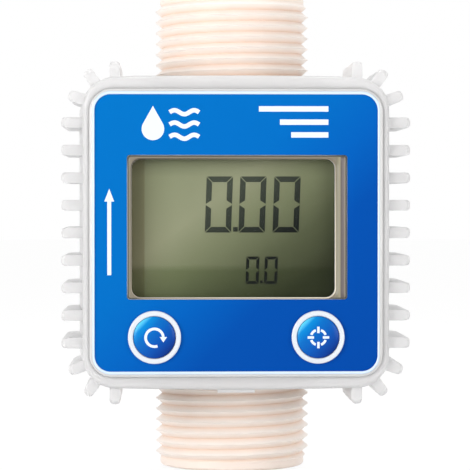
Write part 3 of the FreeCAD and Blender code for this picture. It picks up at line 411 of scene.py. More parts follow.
# %% The threaded sleeve
ROWS_PER_PITCH = 18
COLUMNS = 144
END_RING = 15.6
END_FACE = 1.4
END_ROUND, END_DROP = 0.7, 0.8
CREST_CLEAR, CREST_FADE = 1.7, 1.2
ROOT_CLEAR, ROOT_FADE = 1.5, 0.8
START = {"top": -0.9, "bottom": 0.57}


def thread_grid(end):
    """Points of one threaded end: from the shoulder out to the end face and in to the bore.

    Radius = root + depth x wave((height - start) / pitch - angle / full turn).  Over the last
    three millimetres it is held between two limits that close in on a plain ring, and the ring's
    outer edge is a quarter of an ellipse."""
    upward = end == "top"
    rows = int(round(THREAD_LENGTH / PITCH * ROWS_PER_PITCH))
    along = np.linspace(0, 1, rows + 1) * THREAD_LENGTH
    angle = np.arange(COLUMNS) / COLUMNS * 2 * math.pi
    height = shoulder + along
    z = mid + height if upward else mid - height
    phase = (z[:, None] - START[end]) / PITCH - angle[None, :] / (2 * math.pi)
    to_end = THREAD_LENGTH - along
    edge = np.clip(to_end / END_ROUND, 0, 1)
    ring = END_RING - END_DROP * (1 - np.sqrt(1 - (1 - edge) ** 2))
    highest = ring + (CREST - END_RING) * np.clip((to_end - CREST_CLEAR) / CREST_FADE, 0, 1)
    lowest = ring - (END_RING - ROOT) * np.clip((to_end - ROOT_CLEAR) / ROOT_FADE, 0, 1)
    radius = np.clip(ROOT + (CREST - ROOT) * wave(phase), lowest[:, None], highest[:, None])
    layers = [np.full((1, COLUMNS), CREST), radius]
    heights = [z[:1], z]
    for inward in (END_RING - END_FACE, BORE):
        layers.append(np.full((1, COLUMNS), inward))
        heights.append(z[-1:])
    radius = np.vstack(layers)
    z = np.concatenate(heights)
    points = np.stack([radius * np.cos(angle), radius * np.sin(angle),
                       np.broadcast_to(z[:, None], radius.shape)], axis=-1) * MM
    faces = grid_faces(len(z), COLUMNS)
    return points.reshape(-1, 3), faces if upward else faces[:, ::-1]


sleeves = [mesh_from(f"thread_{end}", *thread_grid(end)) for end in START]
print("faces of the threaded ends:", [len(sleeve.polygons) for sleeve in sleeves])

# %% [markdown]
# ## One mesh for the pipe
# Body and threads are one moulding, so the sleeves are put into the body's own mesh.  Light then
# scatters through them as through one piece of plastic.

# %% Join the threads to the body
joined = bmesh.new()
joined.from_mesh(body_mesh)
for sleeve in sleeves:
    joined.from_mesh(sleeve)
joined.to_mesh(body_mesh)
joined.free()
print("pipe body faces:", len(body_mesh.polygons))

# %% [markdown]
# ## Shade in the grooves
# Light that falls into a groove comes back a little warmer and darker.  A ramp on one coordinate,
# here the distance from the pipe's axis, is multiplied over the finish.  It stays on the surface
# in every view, because it reads the piece's own coordinates.

# %% Overlays
def coordinate(tree, axis):
    """The socket of X, Y or Z of the Object coordinates, or of R, the distance from the flow axis.

    R is the length of the coordinates times (1, 1, 0)."""
    where = tree.nodes.new("ShaderNodeTexCoord")
    if axis == "R":
        flat = tree.nodes.new("ShaderNodeVectorMath")
        flat.operation = "MULTIPLY"
        flat.inputs[1].default_value = (1.0, 1.0, 0.0)
        tree.links.new(where.outputs["Object"], flat.inputs[0])
        length = tree.nodes.new("ShaderNodeVectorMath")
        length.operation = "LENGTH"
        tree.links.new(flat.outputs[0], length.inputs[0])
        return length.outputs["Value"]
    parts = tree.nodes.new("ShaderNodeSeparateXYZ")
    tree.links.new(where.outputs["Object"], parts.inputs[0])
    return parts.outputs[axis]


def overlay(material, axis, start, stop, share, color):
    """Multiplies the base colour by a colour, from not at all at start to its full share at stop.

    start and stop are places along the axis in millimetres; inputs 6 and 7 of the Mix node are
    its colours A and B."""
    tree = material.node_tree
    base = tree.nodes["Principled BSDF"].inputs["Base Color"]
    below = base.links[0].from_socket
    inside = tree.nodes.new("ShaderNodeMapRange")
    inside.inputs["From Min"].default_value = start * MM
    inside.inputs["From Max"].default_value = stop * MM
    inside.inputs["To Max"].default_value = share
    tree.links.new(coordinate(tree, axis), inside.inputs["Value"])
    mix = tree.nodes.new("ShaderNodeMix")
    mix.data_type = "RGBA"
    mix.blend_type = "MULTIPLY"
    mix.inputs[7].default_value = color
    tree.links.new(inside.outputs["Result"], mix.inputs[0])
    tree.links.new(below, mix.inputs[6])
    tree.links.new(mix.outputs[2], base)


GROOVE_SHADE = 1.0
overlay(cream, "R", ROOT + GROOVE_SHADE, ROOT, 1.0, srgb(243, 231, 223))
pipe_body = show("pipe_body", body_mesh, "meter", cream)
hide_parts("meter_body")
print("grooves darken inside a radius in mm of:", ROOT + GROOVE_SHADE)

# %% [markdown]
# ## Smooth where the mould is smooth
# A turned surface should look round and a corner should stay crisp.  Smooth shading with sharp
# edges above an angle gives both, and it changes no point of the mesh.

# %% Smooth shading by angle
def smooth_by_angle(mesh, degrees):
    """Shades every face smooth and keeps edges sharper than the angle as creases."""
    mesh.shade_smooth()
    mesh.set_sharp_from_angle(angle=math.radians(degrees))


smooth_by_angle(body_mesh, 38)
print("smooth body edges:", len(body_mesh.edges))

# %% [markdown]
# ## The soft boot
# Silicone never has a knife edge: every rib tip and every lip is rounded by the mould.  A CAD mesh
# is made of loose triangles, so a copy of the boot is welded first, and its flat triangles are
# joined in pairs, because cuts and bevels need clean four-sided faces.

# %% A clean copy of the boot
def merged_copy(node, name):
    """A copy of a CAD node whose triangles are welded, and paired into four-sided faces."""
    work = bmesh.new()
    work.from_mesh(nodes[node].data)
    bmesh.ops.remove_doubles(work, verts=work.verts, dist=2e-6)
    bmesh.ops.join_triangles(work, faces=work.faces, angle_face_threshold=math.radians(1.0),
                             angle_shape_threshold=math.radians(180.0))
    mesh = bpy.data.meshes.new(name)
    work.to_mesh(mesh)
    work.free()
    return mesh


boot_mesh = merged_copy("protective_boot", "soft_boot")
print("boot faces, ribs still blunt:", len(boot_mesh.polygons))

# %% [markdown]
# ## Round rib tips
# Each rib ends in a round nose, as a finger of soft rubber does.  The copy has a blunt end, so its
# edges straight across the tip are cut into strips, and the strips are moved on to a curve.  The
# curve is a superellipse: a circle that is a little square.

# %% Where the ribs run
BOOT_CORNER = 6.5
SIDE_RIBS, RIB_ROW, RIB_TIP = 9, 45.1, 4.5
CORNER_RIB_ANGLES, CORNER_RIB_TIP = (18, 54, 90), 3.45
RIB_HALF = 1.1
TIP_ZONE, TIP_SLACK, SIDE_SLACK = 2.6, 0.1, 0.05
boot_low, boot_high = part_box("protective_boot")
half_width = (boot_high.x - boot_low.x) / 2 / MM - RIB_TIP
half_height = (boot_high.z - boot_low.z) / 2 / MM - CORNER_RIB_TIP


def rib_lines():
    """The line that each rib follows, seen from the front, as (x, z, way x, way z, tip).

    x and z are its first point, from the middle of the pipe, and tip is its length."""
    lines = []
    for side in (-1, 1):
        for z in np.linspace(-RIB_ROW / 2, RIB_ROW / 2, SIDE_RIBS):
            lines.append((side * half_width, z, side, 0.0, RIB_TIP))
        for end in (-1, 1):
            x, z = side * (half_width - BOOT_CORNER), end * (half_height - BOOT_CORNER)
            for turn in np.radians(CORNER_RIB_ANGLES):
                lines.append((x, z, side * math.cos(turn), end * math.sin(turn),
                              BOOT_CORNER + CORNER_RIB_TIP))
    return lines


def along_rib(points, line):
    """How far points lie out along a rib's line and across it, and which are in its tip.

    Out is the dot product, and across the cross product, of the line's way and the offset from
    its first point.  The tip is the last stretch of the line, as wide as the rib."""
    x0, z0, way_x, way_z, tip = line
    x, z = points[:, 0] / MM - x0, points[:, 2] / MM - mid - z0
    out, across = x * way_x + z * way_z, z * way_x - x * way_z
    in_tip = (out > tip - TIP_ZONE) & (out < tip + TIP_SLACK) & (np.abs(across) < RIB_HALF + SIDE_SLACK)
    return out, across, in_tip


print("ribs:", len(rib_lines()), " wall half sizes in mm:", round(half_width, 2), round(half_height, 2))

# %% [markdown]
# ## Strips for the nose
# Only edges that cross a rib squarely are cut.  Cutting both ends of a face alike leaves clean
# strips of four-sided faces between them.

# %% Cut the tips
TIP_CUTS = 9
SQUARE_ON = 0.95


def read_points(mesh):
    """The mesh's points as one array of rows."""
    points = np.empty(len(mesh.vertices) * 3, dtype=np.float32)
    mesh.vertices.foreach_get("co", points)
    return points.reshape(-1, 3).astype(float)


def cut_tips(mesh):
    """Cuts each edge of a tip whose step across the rib is as long as the edge itself."""
    points = read_points(mesh)
    pairs = np.empty(len(mesh.edges) * 2, dtype=np.int32)
    mesh.edges.foreach_get("vertices", pairs)
    first, second = pairs.reshape(-1, 2).T
    length = np.linalg.norm(points[first] - points[second], axis=1) / MM
    crossing = np.zeros(len(length), dtype=bool)
    for line in rib_lines():
        _, across, in_tip = along_rib(points, line)
        step = np.abs(across[first] - across[second])
        crossing |= in_tip[first] & in_tip[second] & (step > SQUARE_ON * length) & (step > RIB_HALF)
    work = bmesh.new()
    work.from_mesh(mesh)
    work.edges.ensure_lookup_table()
    edges = [work.edges[number] for number in np.flatnonzero(crossing)]
    bmesh.ops.subdivide_edges(work, edges=edges, cuts=TIP_CUTS, use_grid_fill=True)
    work.to_mesh(mesh)
    work.free()
    return len(edges)


print("edges cut:", cut_tips(boot_mesh))

# %% [markdown]
# ## Move the strips
# Whole arrays do the moving.  A share that grows from 0 to 1 towards the tip lets the round nose
# run out into the straight rib.

# %% Round the tips
RIB_ROUND, TIP_BLEND = 0.95, 1.9
SQUARENESS = 2.4


def round_tips(mesh):
    """Moves the points of each tip on to a rounded, slightly square end.

    Across the rib the turn goes through half a circle.  The tip draws back by the rounding x
    (1 - cosine of the turn), and each point goes across to the half width x sine of the turn;
    sine and cosine are raised to 2 / squareness."""
    points = read_points(mesh)
    power = 2 / SQUARENESS
    for line in rib_lines():
        way_x, way_z, tip = line[2:]
        out, across, in_tip = along_rib(points, line)
        out, across = out[in_tip], across[in_tip]
        share = np.minimum(1.0, (out - tip + TIP_ZONE) / TIP_BLEND)
        turn = np.clip(across / RIB_HALF, -1, 1) * math.pi / 2
        back = RIB_ROUND * (1 - np.maximum(0.0, np.cos(turn)) ** power)
        wide = np.copysign(RIB_HALF * np.abs(np.sin(turn)) ** power, turn)
        move_out, move_across = -back * share, (wide - across) * share
        points[in_tip, 0] += (way_x * move_out - way_z * move_across) * MM
        points[in_tip, 2] += (way_z * move_out + way_x * move_across) * MM
    mesh.vertices.foreach_set("co", points.astype(np.float32).ravel())
    mesh.update()


round_tips(boot_mesh)
print("boot points:", len(boot_mesh.vertices))

# %% [markdown]
# ## A soft edge all over
# A narrow bevel along every edge sharper than an angle gives the boot the radius of its mould.
# It stays a live modifier, so its width is easy to change.

# %% Bevel the boot
def soften(piece, width, steps=2, degrees=40):
    """Adds a bevel of this width in millimetres along edges sharper than the angle."""
    bevel = piece.modifiers.new("mould_radius", "BEVEL")
    bevel.width = width * MM
    bevel.segments = steps
    bevel.limit_method = "ANGLE"
    bevel.angle_limit = math.radians(degrees)
    bevel.use_clamp_overlap = True
    bevel.harden_normals = True


boot = show("soft_boot", boot_mesh, "meter", silicone)
smooth_by_angle(boot_mesh, 35)
soften(boot, 0.45)
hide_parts("protective_boot")
print("boot faces before the bevel:", len(boot_mesh.polygons))

# %% [markdown]
# ## The front cover
# The cover is a harder plastic than the boot, a little clear, so its rim looks grey where it is
# thin.  Its edges are rounded less.

# %% Cover with fine edges
cover_mesh = merged_copy("front_cover", "face_cover")
cover = show("face_cover", cover_mesh, "meter", milky)
smooth_by_angle(cover_mesh, 35)
soften(cover, 0.12)
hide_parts("front_cover")
print("cover faces:", len(cover_mesh.polygons))

# %% [markdown]
# ## The printed label
# The label is a blue film with a gloss coat.  Its blue is painted lighter at the upper left and
# darker at the lower right, painted shade with a painted reflection along the diagonal, so a ramp
# is laid across the face along that diagonal.  A film this flat would mirror the white room and
# look pale, so its specular level is kept low.

# %% Paint that runs along a slope
# The ramps laid with this helper carry painted light: highlights, shade and reflections across a face.
def slope_paint(material, stops, centre, reach, lean=1.0):
    """Gives the base colour a ramp from the upper left to the lower right of a face.

    The place on the ramp is 0.5 + (x - lean times z) / reach, from the centre; stops are pairs
    of a place and a colour."""
    tree = material.node_tree
    where = tree.nodes.new("ShaderNodeTexCoord")
    parts = tree.nodes.new("ShaderNodeSeparateXYZ")
    tree.links.new(where.outputs["Object"], parts.inputs[0])
    down = tree.nodes.new("ShaderNodeMath")
    down.operation = "MULTIPLY_ADD"
    down.inputs[1].default_value = -lean
    down.inputs[2].default_value = lean * centre.z - centre.x
    tree.links.new(parts.outputs["Z"], down.inputs[0])
    total = tree.nodes.new("ShaderNodeMath")
    total.operation = "ADD"
    tree.links.new(parts.outputs["X"], total.inputs[0])
    tree.links.new(down.outputs[0], total.inputs[1])
    spread = tree.nodes.new("ShaderNodeMapRange")
    spread.inputs["From Min"].default_value = -reach / 2
    spread.inputs["From Max"].default_value = reach / 2
    tree.links.new(total.outputs[0], spread.inputs["Value"])
    ramp = tree.nodes.new("ShaderNodeValToRGB")
    tree.links.new(spread.outputs["Result"], ramp.inputs["Fac"])
    elements = ramp.color_ramp.elements
    elements[0].position, elements[0].color = stops[0]
    elements[1].position, elements[1].color = stops[-1]
    for place, color in stops[1:-1]:
        elements.new(place).color = color
    tree.links.new(ramp.outputs["Color"], tree.nodes["Principled BSDF"].inputs["Base Color"])


label_low, label_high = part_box("face_label")
face_mid = (label_low + label_high) / 2
face_x, face_z = face_mid.x / MM, face_mid.z / MM
label_front = -label_low.y / MM
label_ink_with_painted_light = finish("label_ink_with_painted_light", srgb(0, 100, 200), 0.4, Specular_IOR_Level=0.04)
# The ramp is painted shade and a painted reflection: light at the upper left, dark at the lower right.
slope_paint(label_ink_with_painted_light, [(0.0, srgb(0, 110, 189)), (0.4, srgb(0, 104, 187)), (0.55, srgb(0, 92, 181)),
                        (0.68, srgb(0, 75, 165)), (1.0, srgb(0, 69, 160))], face_mid, 0.11)
wear(nodes["face_label"], label_ink_with_painted_light)
print("middle of the face in mm:", round(face_x, 2), round(face_z, 2))

# %% [markdown]
# ## Thin rings
# The edges that catch the light round the label, the cover and the window are thin rings that lie
# flat on the face.  Each fills the space between two rounded rectangles with equally many points,
# so it is a grid of four rows that closes on itself.

# %% Rings between two outlines
def face_outwards(mesh, weld=0.0):
    """Turns every face outwards, after points nearer than weld, in metres, are merged."""
    work = bmesh.new()
    work.from_mesh(mesh)
    if weld:
        bmesh.ops.remove_doubles(work, verts=work.verts, dist=weld)
    bmesh.ops.recalc_face_normals(work, faces=work.faces)
    work.to_mesh(mesh)
    work.free()


def arc_points(centre, radius, start, stop, count):
    """Rows of points on an arc: centre + radius x (cosine, sine) of angles in degrees."""
    angle = np.radians(np.linspace(start, stop, count))
    return np.array(centre) + radius * np.stack([np.cos(angle), np.sin(angle)], axis=-1)


def rounded_outline(low, high, radius, steps=8):
    """Points round a rectangle with quarter circles at its corners, from the lower right, in mm."""
    corners = ((high[0] - radius, low[1] + radius, -90), (high[0] - radius, high[1] - radius, 0),
               (low[0] + radius, high[1] - radius, 90), (low[0] + radius, low[1] + radius, 180))
    return np.concatenate([arc_points((x, z), radius, start, start + 90, steps)
                           for x, z, start in corners])


def grown_box(low, high, grow, radius, steps=8):
    """The rounded outline of a box seen from the front, grown by some millimetres all round."""
    return rounded_outline((low.x / MM - grow, low.z / MM - grow),
                           (high.x / MM + grow, high.z / MM + grow), radius + grow, steps)


def flat_ring(name, outer, inner, depth, thickness, material):
    """Shows a flat closed ring between two outlines with the same number of points.

    Its four rows are the outlines at depth and at depth + thickness.  The grid has a fifth row,
    whose point numbers are taken modulo the count, which makes it the first row again."""
    count = len(outer)
    rows = [(outer, depth), (outer, depth + thickness), (inner, depth + thickness), (inner, depth)]
    points = np.concatenate([np.stack([line[:, 0], np.full(count, -d), line[:, 1]], axis=-1)
                             for line, d in rows]) * MM
    mesh = mesh_from(name, points, grid_faces(len(rows) + 1, count) % len(points))
    face_outwards(mesh)
    show(name, mesh, "meter", material)
    print(name, "has points:", len(points))


# %% [markdown]
# ## Bead, land and lip
# A thin pale ring frames the label: a painted highlight on the edge of the cover's recess.  Outside
# it the cover ends in a flat land, and the boot's inner lip lies a little lower round it.  Together
# they make the fine lines round the blue.
# They are rings of their own, because the bevels on the cover and boot are too fine to show them.

# %% Bead, land and lip
cover_low, cover_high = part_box("front_cover")
cover_front = -cover_low.y / MM
LABEL_CORNER, CASE_CORNER, CORNER_STEPS = 3.3, 4.6, 16
BEAD_GROW, BEAD_BELOW, BEAD_ABOVE = 0.42, 0.16, 0.18

# Painted highlight: the pale blue-white stands for light on the recess's edge.
bead_highlight_paint = finish("label_edge_highlight", srgb(214, 232, 250), 0.25, drift=0.01)
bead_inner = rounded_outline((label_low.x / MM, label_low.z / MM + BEAD_BELOW),
                             (label_high.x / MM, label_high.z / MM - BEAD_ABOVE),
                             LABEL_CORNER, CORNER_STEPS)
flat_ring("label_edge_highlight", grown_box(label_low, label_high, BEAD_GROW, LABEL_CORNER, CORNER_STEPS),
          bead_inner, cover_front - 0.19, 0.22, bead_highlight_paint)
for name, outer, inner, sunk, thickness, material, slot in (
        ("boot_inner_lip", 0.5, 0.015, 1.06, 0.5, silicone, "boot_silicone"),
        ("cover_land", 0.04, -0.5, 0.62, 0.54, milky, "cover_plastic")):
    flat_ring(name, grown_box(cover_low, cover_high, outer, CASE_CORNER, CORNER_STEPS),
              grown_box(cover_low, cover_high, inner, CASE_CORNER, CORNER_STEPS),
              cover_front - sunk, thickness, material)

# %% [markdown]
# ## Push buttons
# A button is a turned part.  Its profile is rows of radius and depth, and numpy carries all of
# them round the button's own axis at once.  The points on the axis fall together and are welded.

# %% Turned parts
def turned(name, profile, centre, columns=96):
    """A closed mesh of revolution about the line through centre along Y.

    Profile rows are (radius, depth); x and z are centre plus radius times the cosine and sine."""
    angle = np.arange(columns) / columns * 2 * math.pi
    radius = profile[:, :1]
    points = np.stack([centre.x / MM + radius * np.cos(angle), -np.repeat(profile[:, 1:], columns, 1),
                       centre.z / MM + radius * np.sin(angle)], axis=-1) * MM
    mesh = mesh_from(name, points.reshape(-1, 3), grid_faces(len(profile), columns))
    face_outwards(mesh, weld=1e-7)
    smooth_by_angle(mesh, 40)
    return mesh


CAP, DOME, STEM = 4.25, 0.62, 1.6
FLANGE, FLANGE_EDGE, FLANGE_FRONT, FLANGE_BACK = 0.65, 0.05, 30.25, 29.6


def cap_profile(top, back):
    """A cap's rows: radius = cap x sine, depth = top - (1 - cosine) x dome, then flange and stem."""
    turn = np.linspace(0, math.pi / 2, 25)
    dome = np.stack([CAP * np.sin(turn), top - (1 - np.cos(turn)) * DOME], axis=-1)
    rim = CAP + FLANGE
    return np.vstack([dome, [(CAP, FLANGE_FRONT), (rim - FLANGE_EDGE, FLANGE_FRONT - FLANGE_EDGE),
                             (rim, FLANGE_FRONT - 2 * FLANGE_EDGE), (rim, FLANGE_BACK + FLANGE_EDGE),
                             (rim - FLANGE_EDGE, FLANGE_BACK), (STEM, FLANGE_BACK), (STEM, back),
                             (0, back)]])


print("cap diameter in mm:", 2 * CAP)

# %% [markdown]
# ## Caps in their rings
# The cap has a low dome; its blue is painted from a pale highlight at the upper left to painted
# shade at the lower right.  The ring stands on the label round it, and both of its upper edges
# are rounded.

# %% Caps and rings
RING_INNER, RING_OUTER, RING_LIP, RING_SEAT = 4.3, 5.3, 5.42, 31.7
RING_ROUND, RING_CLEAR = 0.3, 0.02
# Painted highlight at the upper left edge of the dome, painted shade towards the lower right.
CAP_BLUES_AND_PAINTED_LIGHT = [(0.02, srgb(90, 205, 245)), (0.13, srgb(0, 134, 208)), (0.3, srgb(0, 106, 190)),
             (0.6, srgb(0, 84, 176)), (0.87, srgb(0, 60, 150)), (1.0, srgb(0, 44, 120))]


def ring_profile(top):
    """A ring's rows round its closed section, from the inner seat over two arcs to the outside."""
    fold, foot = top - RING_ROUND, label_front + RING_CLEAR
    return np.vstack([[(RING_INNER, RING_SEAT), (RING_INNER, fold)],
                      arc_points((RING_INNER + RING_ROUND, fold), RING_ROUND, 180, 90, 6)[1:],
                      arc_points((RING_LIP - RING_ROUND, fold), RING_ROUND, 90, 0, 6),
                      [(RING_LIP, foot), (RING_OUTER, foot), (RING_OUTER, RING_SEAT),
                       (RING_INNER, RING_SEAT)]])


cap_tops = {}
for key in ("reset", "calibration"):
    low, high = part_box(f"{key}_button")
    centre = (low + high) / 2
    top, back = -low.y / MM, -high.y / MM
    cap_tops[key] = (centre.x / MM, centre.z / MM, top)
    cap_blue_with_painted_light = finish(f"{key}_cap_blue_with_painted_light", srgb(8, 110, 205), 0.22, Specular_IOR_Level=0.12)
    # The ramp paints the dome's highlight and shade on the cap.
    slope_paint(cap_blue_with_painted_light, CAP_BLUES_AND_PAINTED_LIGHT, centre, 0.0122)
    cap = show(f"{key}_cap", turned(f"{key}_cap", cap_profile(top, back), centre), f"{key}_button",
               cap_blue_with_painted_light)
    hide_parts(f"{key}_button")
    ring_top = -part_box(f"{key}_button_ring")[0].y / MM
    ring = show(f"{key}_ring", turned(f"{key}_ring", ring_profile(ring_top), centre), "meter",
                plain["ring_plastic"])
    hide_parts(f"{key}_button_ring")
    print(key, "button centre in mm:", [round(v / MM, 2) for v in centre])

# %% [markdown]
# ## The display
# A liquid crystal is a grey-green plate behind a clear window.  Its ramp is a painted reflection of
# a dark corner of a room, so it grows dark towards the lower right, and a painted band of the same
# reflection darkens it near the bottom.  A brown strip of bare glass runs down its left edge, with a
# painted brown reflection beside it.  A painted shadow of the window's upper edge lies along its
# top.  Each but the ramp is one overlay on the ramp.

# %% Display plate
APERTURE_WIDTH, APERTURE_HEIGHT, APERTURE_CORNER = 41.6, 28.3, 1.9
STRIP_WIDTH, REFLECTION_BAND_DOWN, SHADOW = 2.7, 7.4, 3.6
display_low, display_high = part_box("display_panel")
display_mid = (display_low + display_high) / 2
display_front = -display_low.y / MM
display_paint = finish("display_plate", srgb(140, 147, 112), 0.3, Specular_IOR_Level=0.1)
# Painted reflection: darker towards the lower right.
slope_paint(display_paint, [(0.08, srgb(138, 144, 114)), (0.34, srgb(146, 150, 121)),
                            (0.5, srgb(122, 128, 98)), (0.72, srgb(84, 90, 65)),
                            (0.92, srgb(54, 59, 39))], display_mid, 0.07, 1.3)
strip_edge = display_mid.x / MM - APERTURE_WIDTH / 2 + STRIP_WIDTH
reflection_band_edge = display_mid.z / MM - REFLECTION_BAND_DOWN
shade_edge = display_mid.z / MM + APERTURE_HEIGHT / 2
for axis, start, stop, share, color in (
        # Painted reflection: a darker band near the bottom.
        ("Z", reflection_band_edge, reflection_band_edge - 1.4, 1.0, srgb(216, 222, 208)),
        ("X", strip_edge, strip_edge - 0.15, 1.0, srgb(236, 229, 222)),
        # Painted reflection: browner towards the left edge.
        ("X", strip_edge + 6.0, strip_edge - 2.0, 0.3, srgb(150, 128, 104)),
        # Painted shadow of the window's upper edge.
        ("Z", shade_edge - SHADOW, shade_edge, 0.42, srgb(96, 100, 90))):
    overlay(display_paint, axis, start, stop, share, color)
wear(nodes["display_panel"], display_paint)
print("display in mm:", [round(v / MM, 1) for v in display_high - display_low])

# %% [markdown]
# ## Figures of bars
# The figures are thin dark cells just in front of the plate.  Each figure is made of up to seven
# bars with mitred ends; a nought lights six of them.

# %% Bars of a figure
def bar_outline(kind, width, height, stroke, gap):
    """Corner points of one bar of a figure whose middle is at 0, 0.

    Each bar is a strip along the figure's outline with slanted ends, kept apart by the gap."""
    w, h, s, g = width / 2, height / 2, stroke, gap
    if kind == "top":
        return [(-w + g, h), (w - g, h), (w - s - g, h - s), (-w + s + g, h - s)]
    if kind == "bottom":
        return [(w - g, -h), (-w + g, -h), (-w + s + g, -h + s), (w - s - g, -h + s)]
    side = -1 if "left" in kind else 1
    way = 1 if "upper" in kind else -1
    return [(side * w, way * (h - g)), (side * w, way * g),
            (side * (w - s), way * (g + 0.65 * s)), (side * (w - s), way * (h - s - g))]


NOUGHT = ("top", "bottom", "upper_left", "upper_right", "lower_left", "lower_right")

print("bars in a nought:", len(NOUGHT))

# %% [markdown]
# ## Print as thin solids
# Ink has almost no thickness.  Made as a solid a few hundredths of a millimetre thick, a print
# keeps its crisp edge from every side.

# %% Thin prints
def print_plate(name, outlines, depth_at, thickness):
    """Thin solid patches from flat outlines, all in one mesh.

    depth_at(x, z) is the depth of the surface that carries them.  A patch is its outline at that
    depth and again at depth + thickness, with four-sided walls between the two."""
    points, faces, first = [], [], 0
    for outline in outlines:
        x, z = np.array(outline, dtype=float).T
        depth = depth_at(x, z) + np.zeros(len(x))
        points += [np.stack([x, -depth, z], axis=-1), np.stack([x, -depth - thickness, z], axis=-1)]
        back = first + np.arange(len(x))
        front = back + len(x)
        walls = np.stack([back, np.roll(back, -1), np.roll(front, -1), front], axis=-1)
        faces += [back[::-1].tolist(), front.tolist()] + walls.tolist()
        first += 2 * len(x)
    mesh = bpy.data.meshes.new(name)
    mesh.from_pydata(np.concatenate(points) * MM, [], faces)
    face_outwards(mesh)
    print(name, "has patches:", len(outlines))
    return mesh


# %% [markdown]
# ## The figures of this display
# Three large noughts with a point show the flow, and two small ones below show the total.  The
# whole row leans a little, as such figures do: x grows by a small share of z.

# %% Display figures
def square(x, z, size):
    """Corners of a small square dot."""
    half = size / 2
    return [(x - half, z - half), (x + half, z - half), (x + half, z + half), (x - half, z + half)]


SLANT = 0.035
LARGE, SMALL = (5.4, 11.5, 1.15), (2.7, 5.65, 0.62)
outlines = [square(face_x - 0.1, face_z + 0.7, 0.95), square(face_x + 5.23, face_z - 10.1, 0.6)]
for x, z, (width, height, line) in ((-3.5, 5.8, LARGE), (3.4, 5.8, LARGE), (10.4, 5.8, LARGE),
                                    (3.4, -7.7, SMALL), (7.2, -7.7, SMALL)):
    for kind in NOUGHT:
        bar = np.array(bar_outline(kind, width, height, line, 0.07 * line + 0.03))
        bar[:, 0] += SLANT * bar[:, 1]
        outlines.append(bar + (face_x + x, face_z + z))
figure_ink_with_painted_light = finish("figure_ink_with_painted_light", srgb(42, 46, 44), 0.4, Specular_IOR_Level=0.1)
# The ramp is painted light and shade: lighter at the upper left, darker at the lower right.
slope_paint(figure_ink_with_painted_light, [(0.25, srgb(66, 72, 62)), (0.7, srgb(20, 24, 22))], display_mid, 0.06, 1.6)
show("display_figures", print_plate("display_figures", outlines, lambda x, z: display_front, 0.04),
     "meter", figure_ink_with_painted_light)

# %% [markdown]
# ## The window
# The window is a clear plate that lies in a step of the cover.  A copy of it gets a small bevel,
# and a finish that is almost not there: only its gloss and a trace of grey remain.

# %% Window plate
lens_low, lens_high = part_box("window_lens")
lens_front = -lens_low.y / MM
clear = finish("window_clear", srgb(30, 32, 30), 0.06, drift=0.01, Alpha=0.04, Specular_IOR_Level=0.2)
lens_mesh = merged_copy("window_lens", "clear_window")
lens = show("clear_window", lens_mesh, "meter", clear)
smooth_by_angle(lens_mesh, 35)
soften(lens, 0.15)
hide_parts("window_lens")
print("window in mm:", [round(v / MM, 1) for v in lens_high - lens_low])

# %% [markdown]
# ## The rim of the window
# Behind the window's rim is a grey-brown print that hides the glue, with painted stripes on the
# right: a painted reflection of the plate's own edge.  A thin line round the opening is a painted
# highlight, bright at the lower right and dark at the upper left, and a dark one in the gap round
# the plate is painted shade.  All three are rings on the plate's front, where a bright room can't
# wash them out.

# %% Printed rim, bright line and seam
APERTURE_RIGHT, APERTURE_UP = -0.57, 0.93
LENS_CORNER, SKIN = 0.6, 0.02
aperture_mid = Vector((face_x + APERTURE_RIGHT, 0, face_z + APERTURE_UP))
aperture_reach = Vector((APERTURE_WIDTH, 0, APERTURE_HEIGHT)) / 2
aperture = ((aperture_mid - aperture_reach) * MM, (aperture_mid + aperture_reach) * MM)
lens_box = (lens_low, lens_high)
margin = lens_high.x - aperture[1].x

rim_print_and_reflection = finish("window_rim_print_and_reflection", srgb(120, 114, 100), 0.35, drift=0.1)
# Grey-brown print, with painted reflection stripes of the plate's edge on the right.
slope_paint(rim_print_and_reflection, [(0.0, srgb(128, 120, 104)), (0.14, srgb(120, 116, 94)),
                        (0.4, srgb(150, 144, 122)), (0.52, srgb(92, 84, 82)),
                        (0.74, srgb(104, 94, 92)), (0.84, srgb(160, 150, 134)),
                        (1.0, srgb(66, 68, 62))],
            Vector((aperture[1].x + margin / 2, 0, face_mid.z)), margin, 0.0)
highlight_line_paint = finish("rim_highlight_line", srgb(190, 178, 152), 0.25, drift=0.02)
# Painted highlight and shade: dark at the upper left, bright at the lower right.
slope_paint(highlight_line_paint, [(0.0, srgb(82, 76, 64)), (0.44, srgb(122, 114, 96)),
                         (0.56, srgb(168, 156, 134)), (0.75, srgb(214, 202, 178)),
                         (1.0, srgb(232, 222, 198))], display_mid, 0.084, 1.6)
# Painted shade in the gap round the plate.
seam_shade_paint = finish("window_seam_shade", srgb(70, 74, 66), 0.5)
flat_ring("window_rim", grown_box(*lens_box, -0.02, LENS_CORNER),
          grown_box(*aperture, 0.0, APERTURE_CORNER), lens_front, 0.03, rim_print_and_reflection)
flat_ring("rim_highlight_line", grown_box(*aperture, 0.18, APERTURE_CORNER),
          grown_box(*aperture, -0.02, APERTURE_CORNER), lens_front + SKIN, 0.03, highlight_line_paint)
flat_ring("window_seam_shade", grown_box(*lens_box, -0.02, LENS_CORNER),
          grown_box(*lens_box, -0.24, LENS_CORNER), lens_front + SKIN, 0.02, seam_shade_paint)

# %% [markdown]
# ## Plain marks
# The label carries no words.  Simple white shapes give it the balance of a printed face: a drop
# with ripples, three bars and an arrow along the flow.  Lines are outlined on both sides of a
# path, and the drop is a circle with two straight flanks.

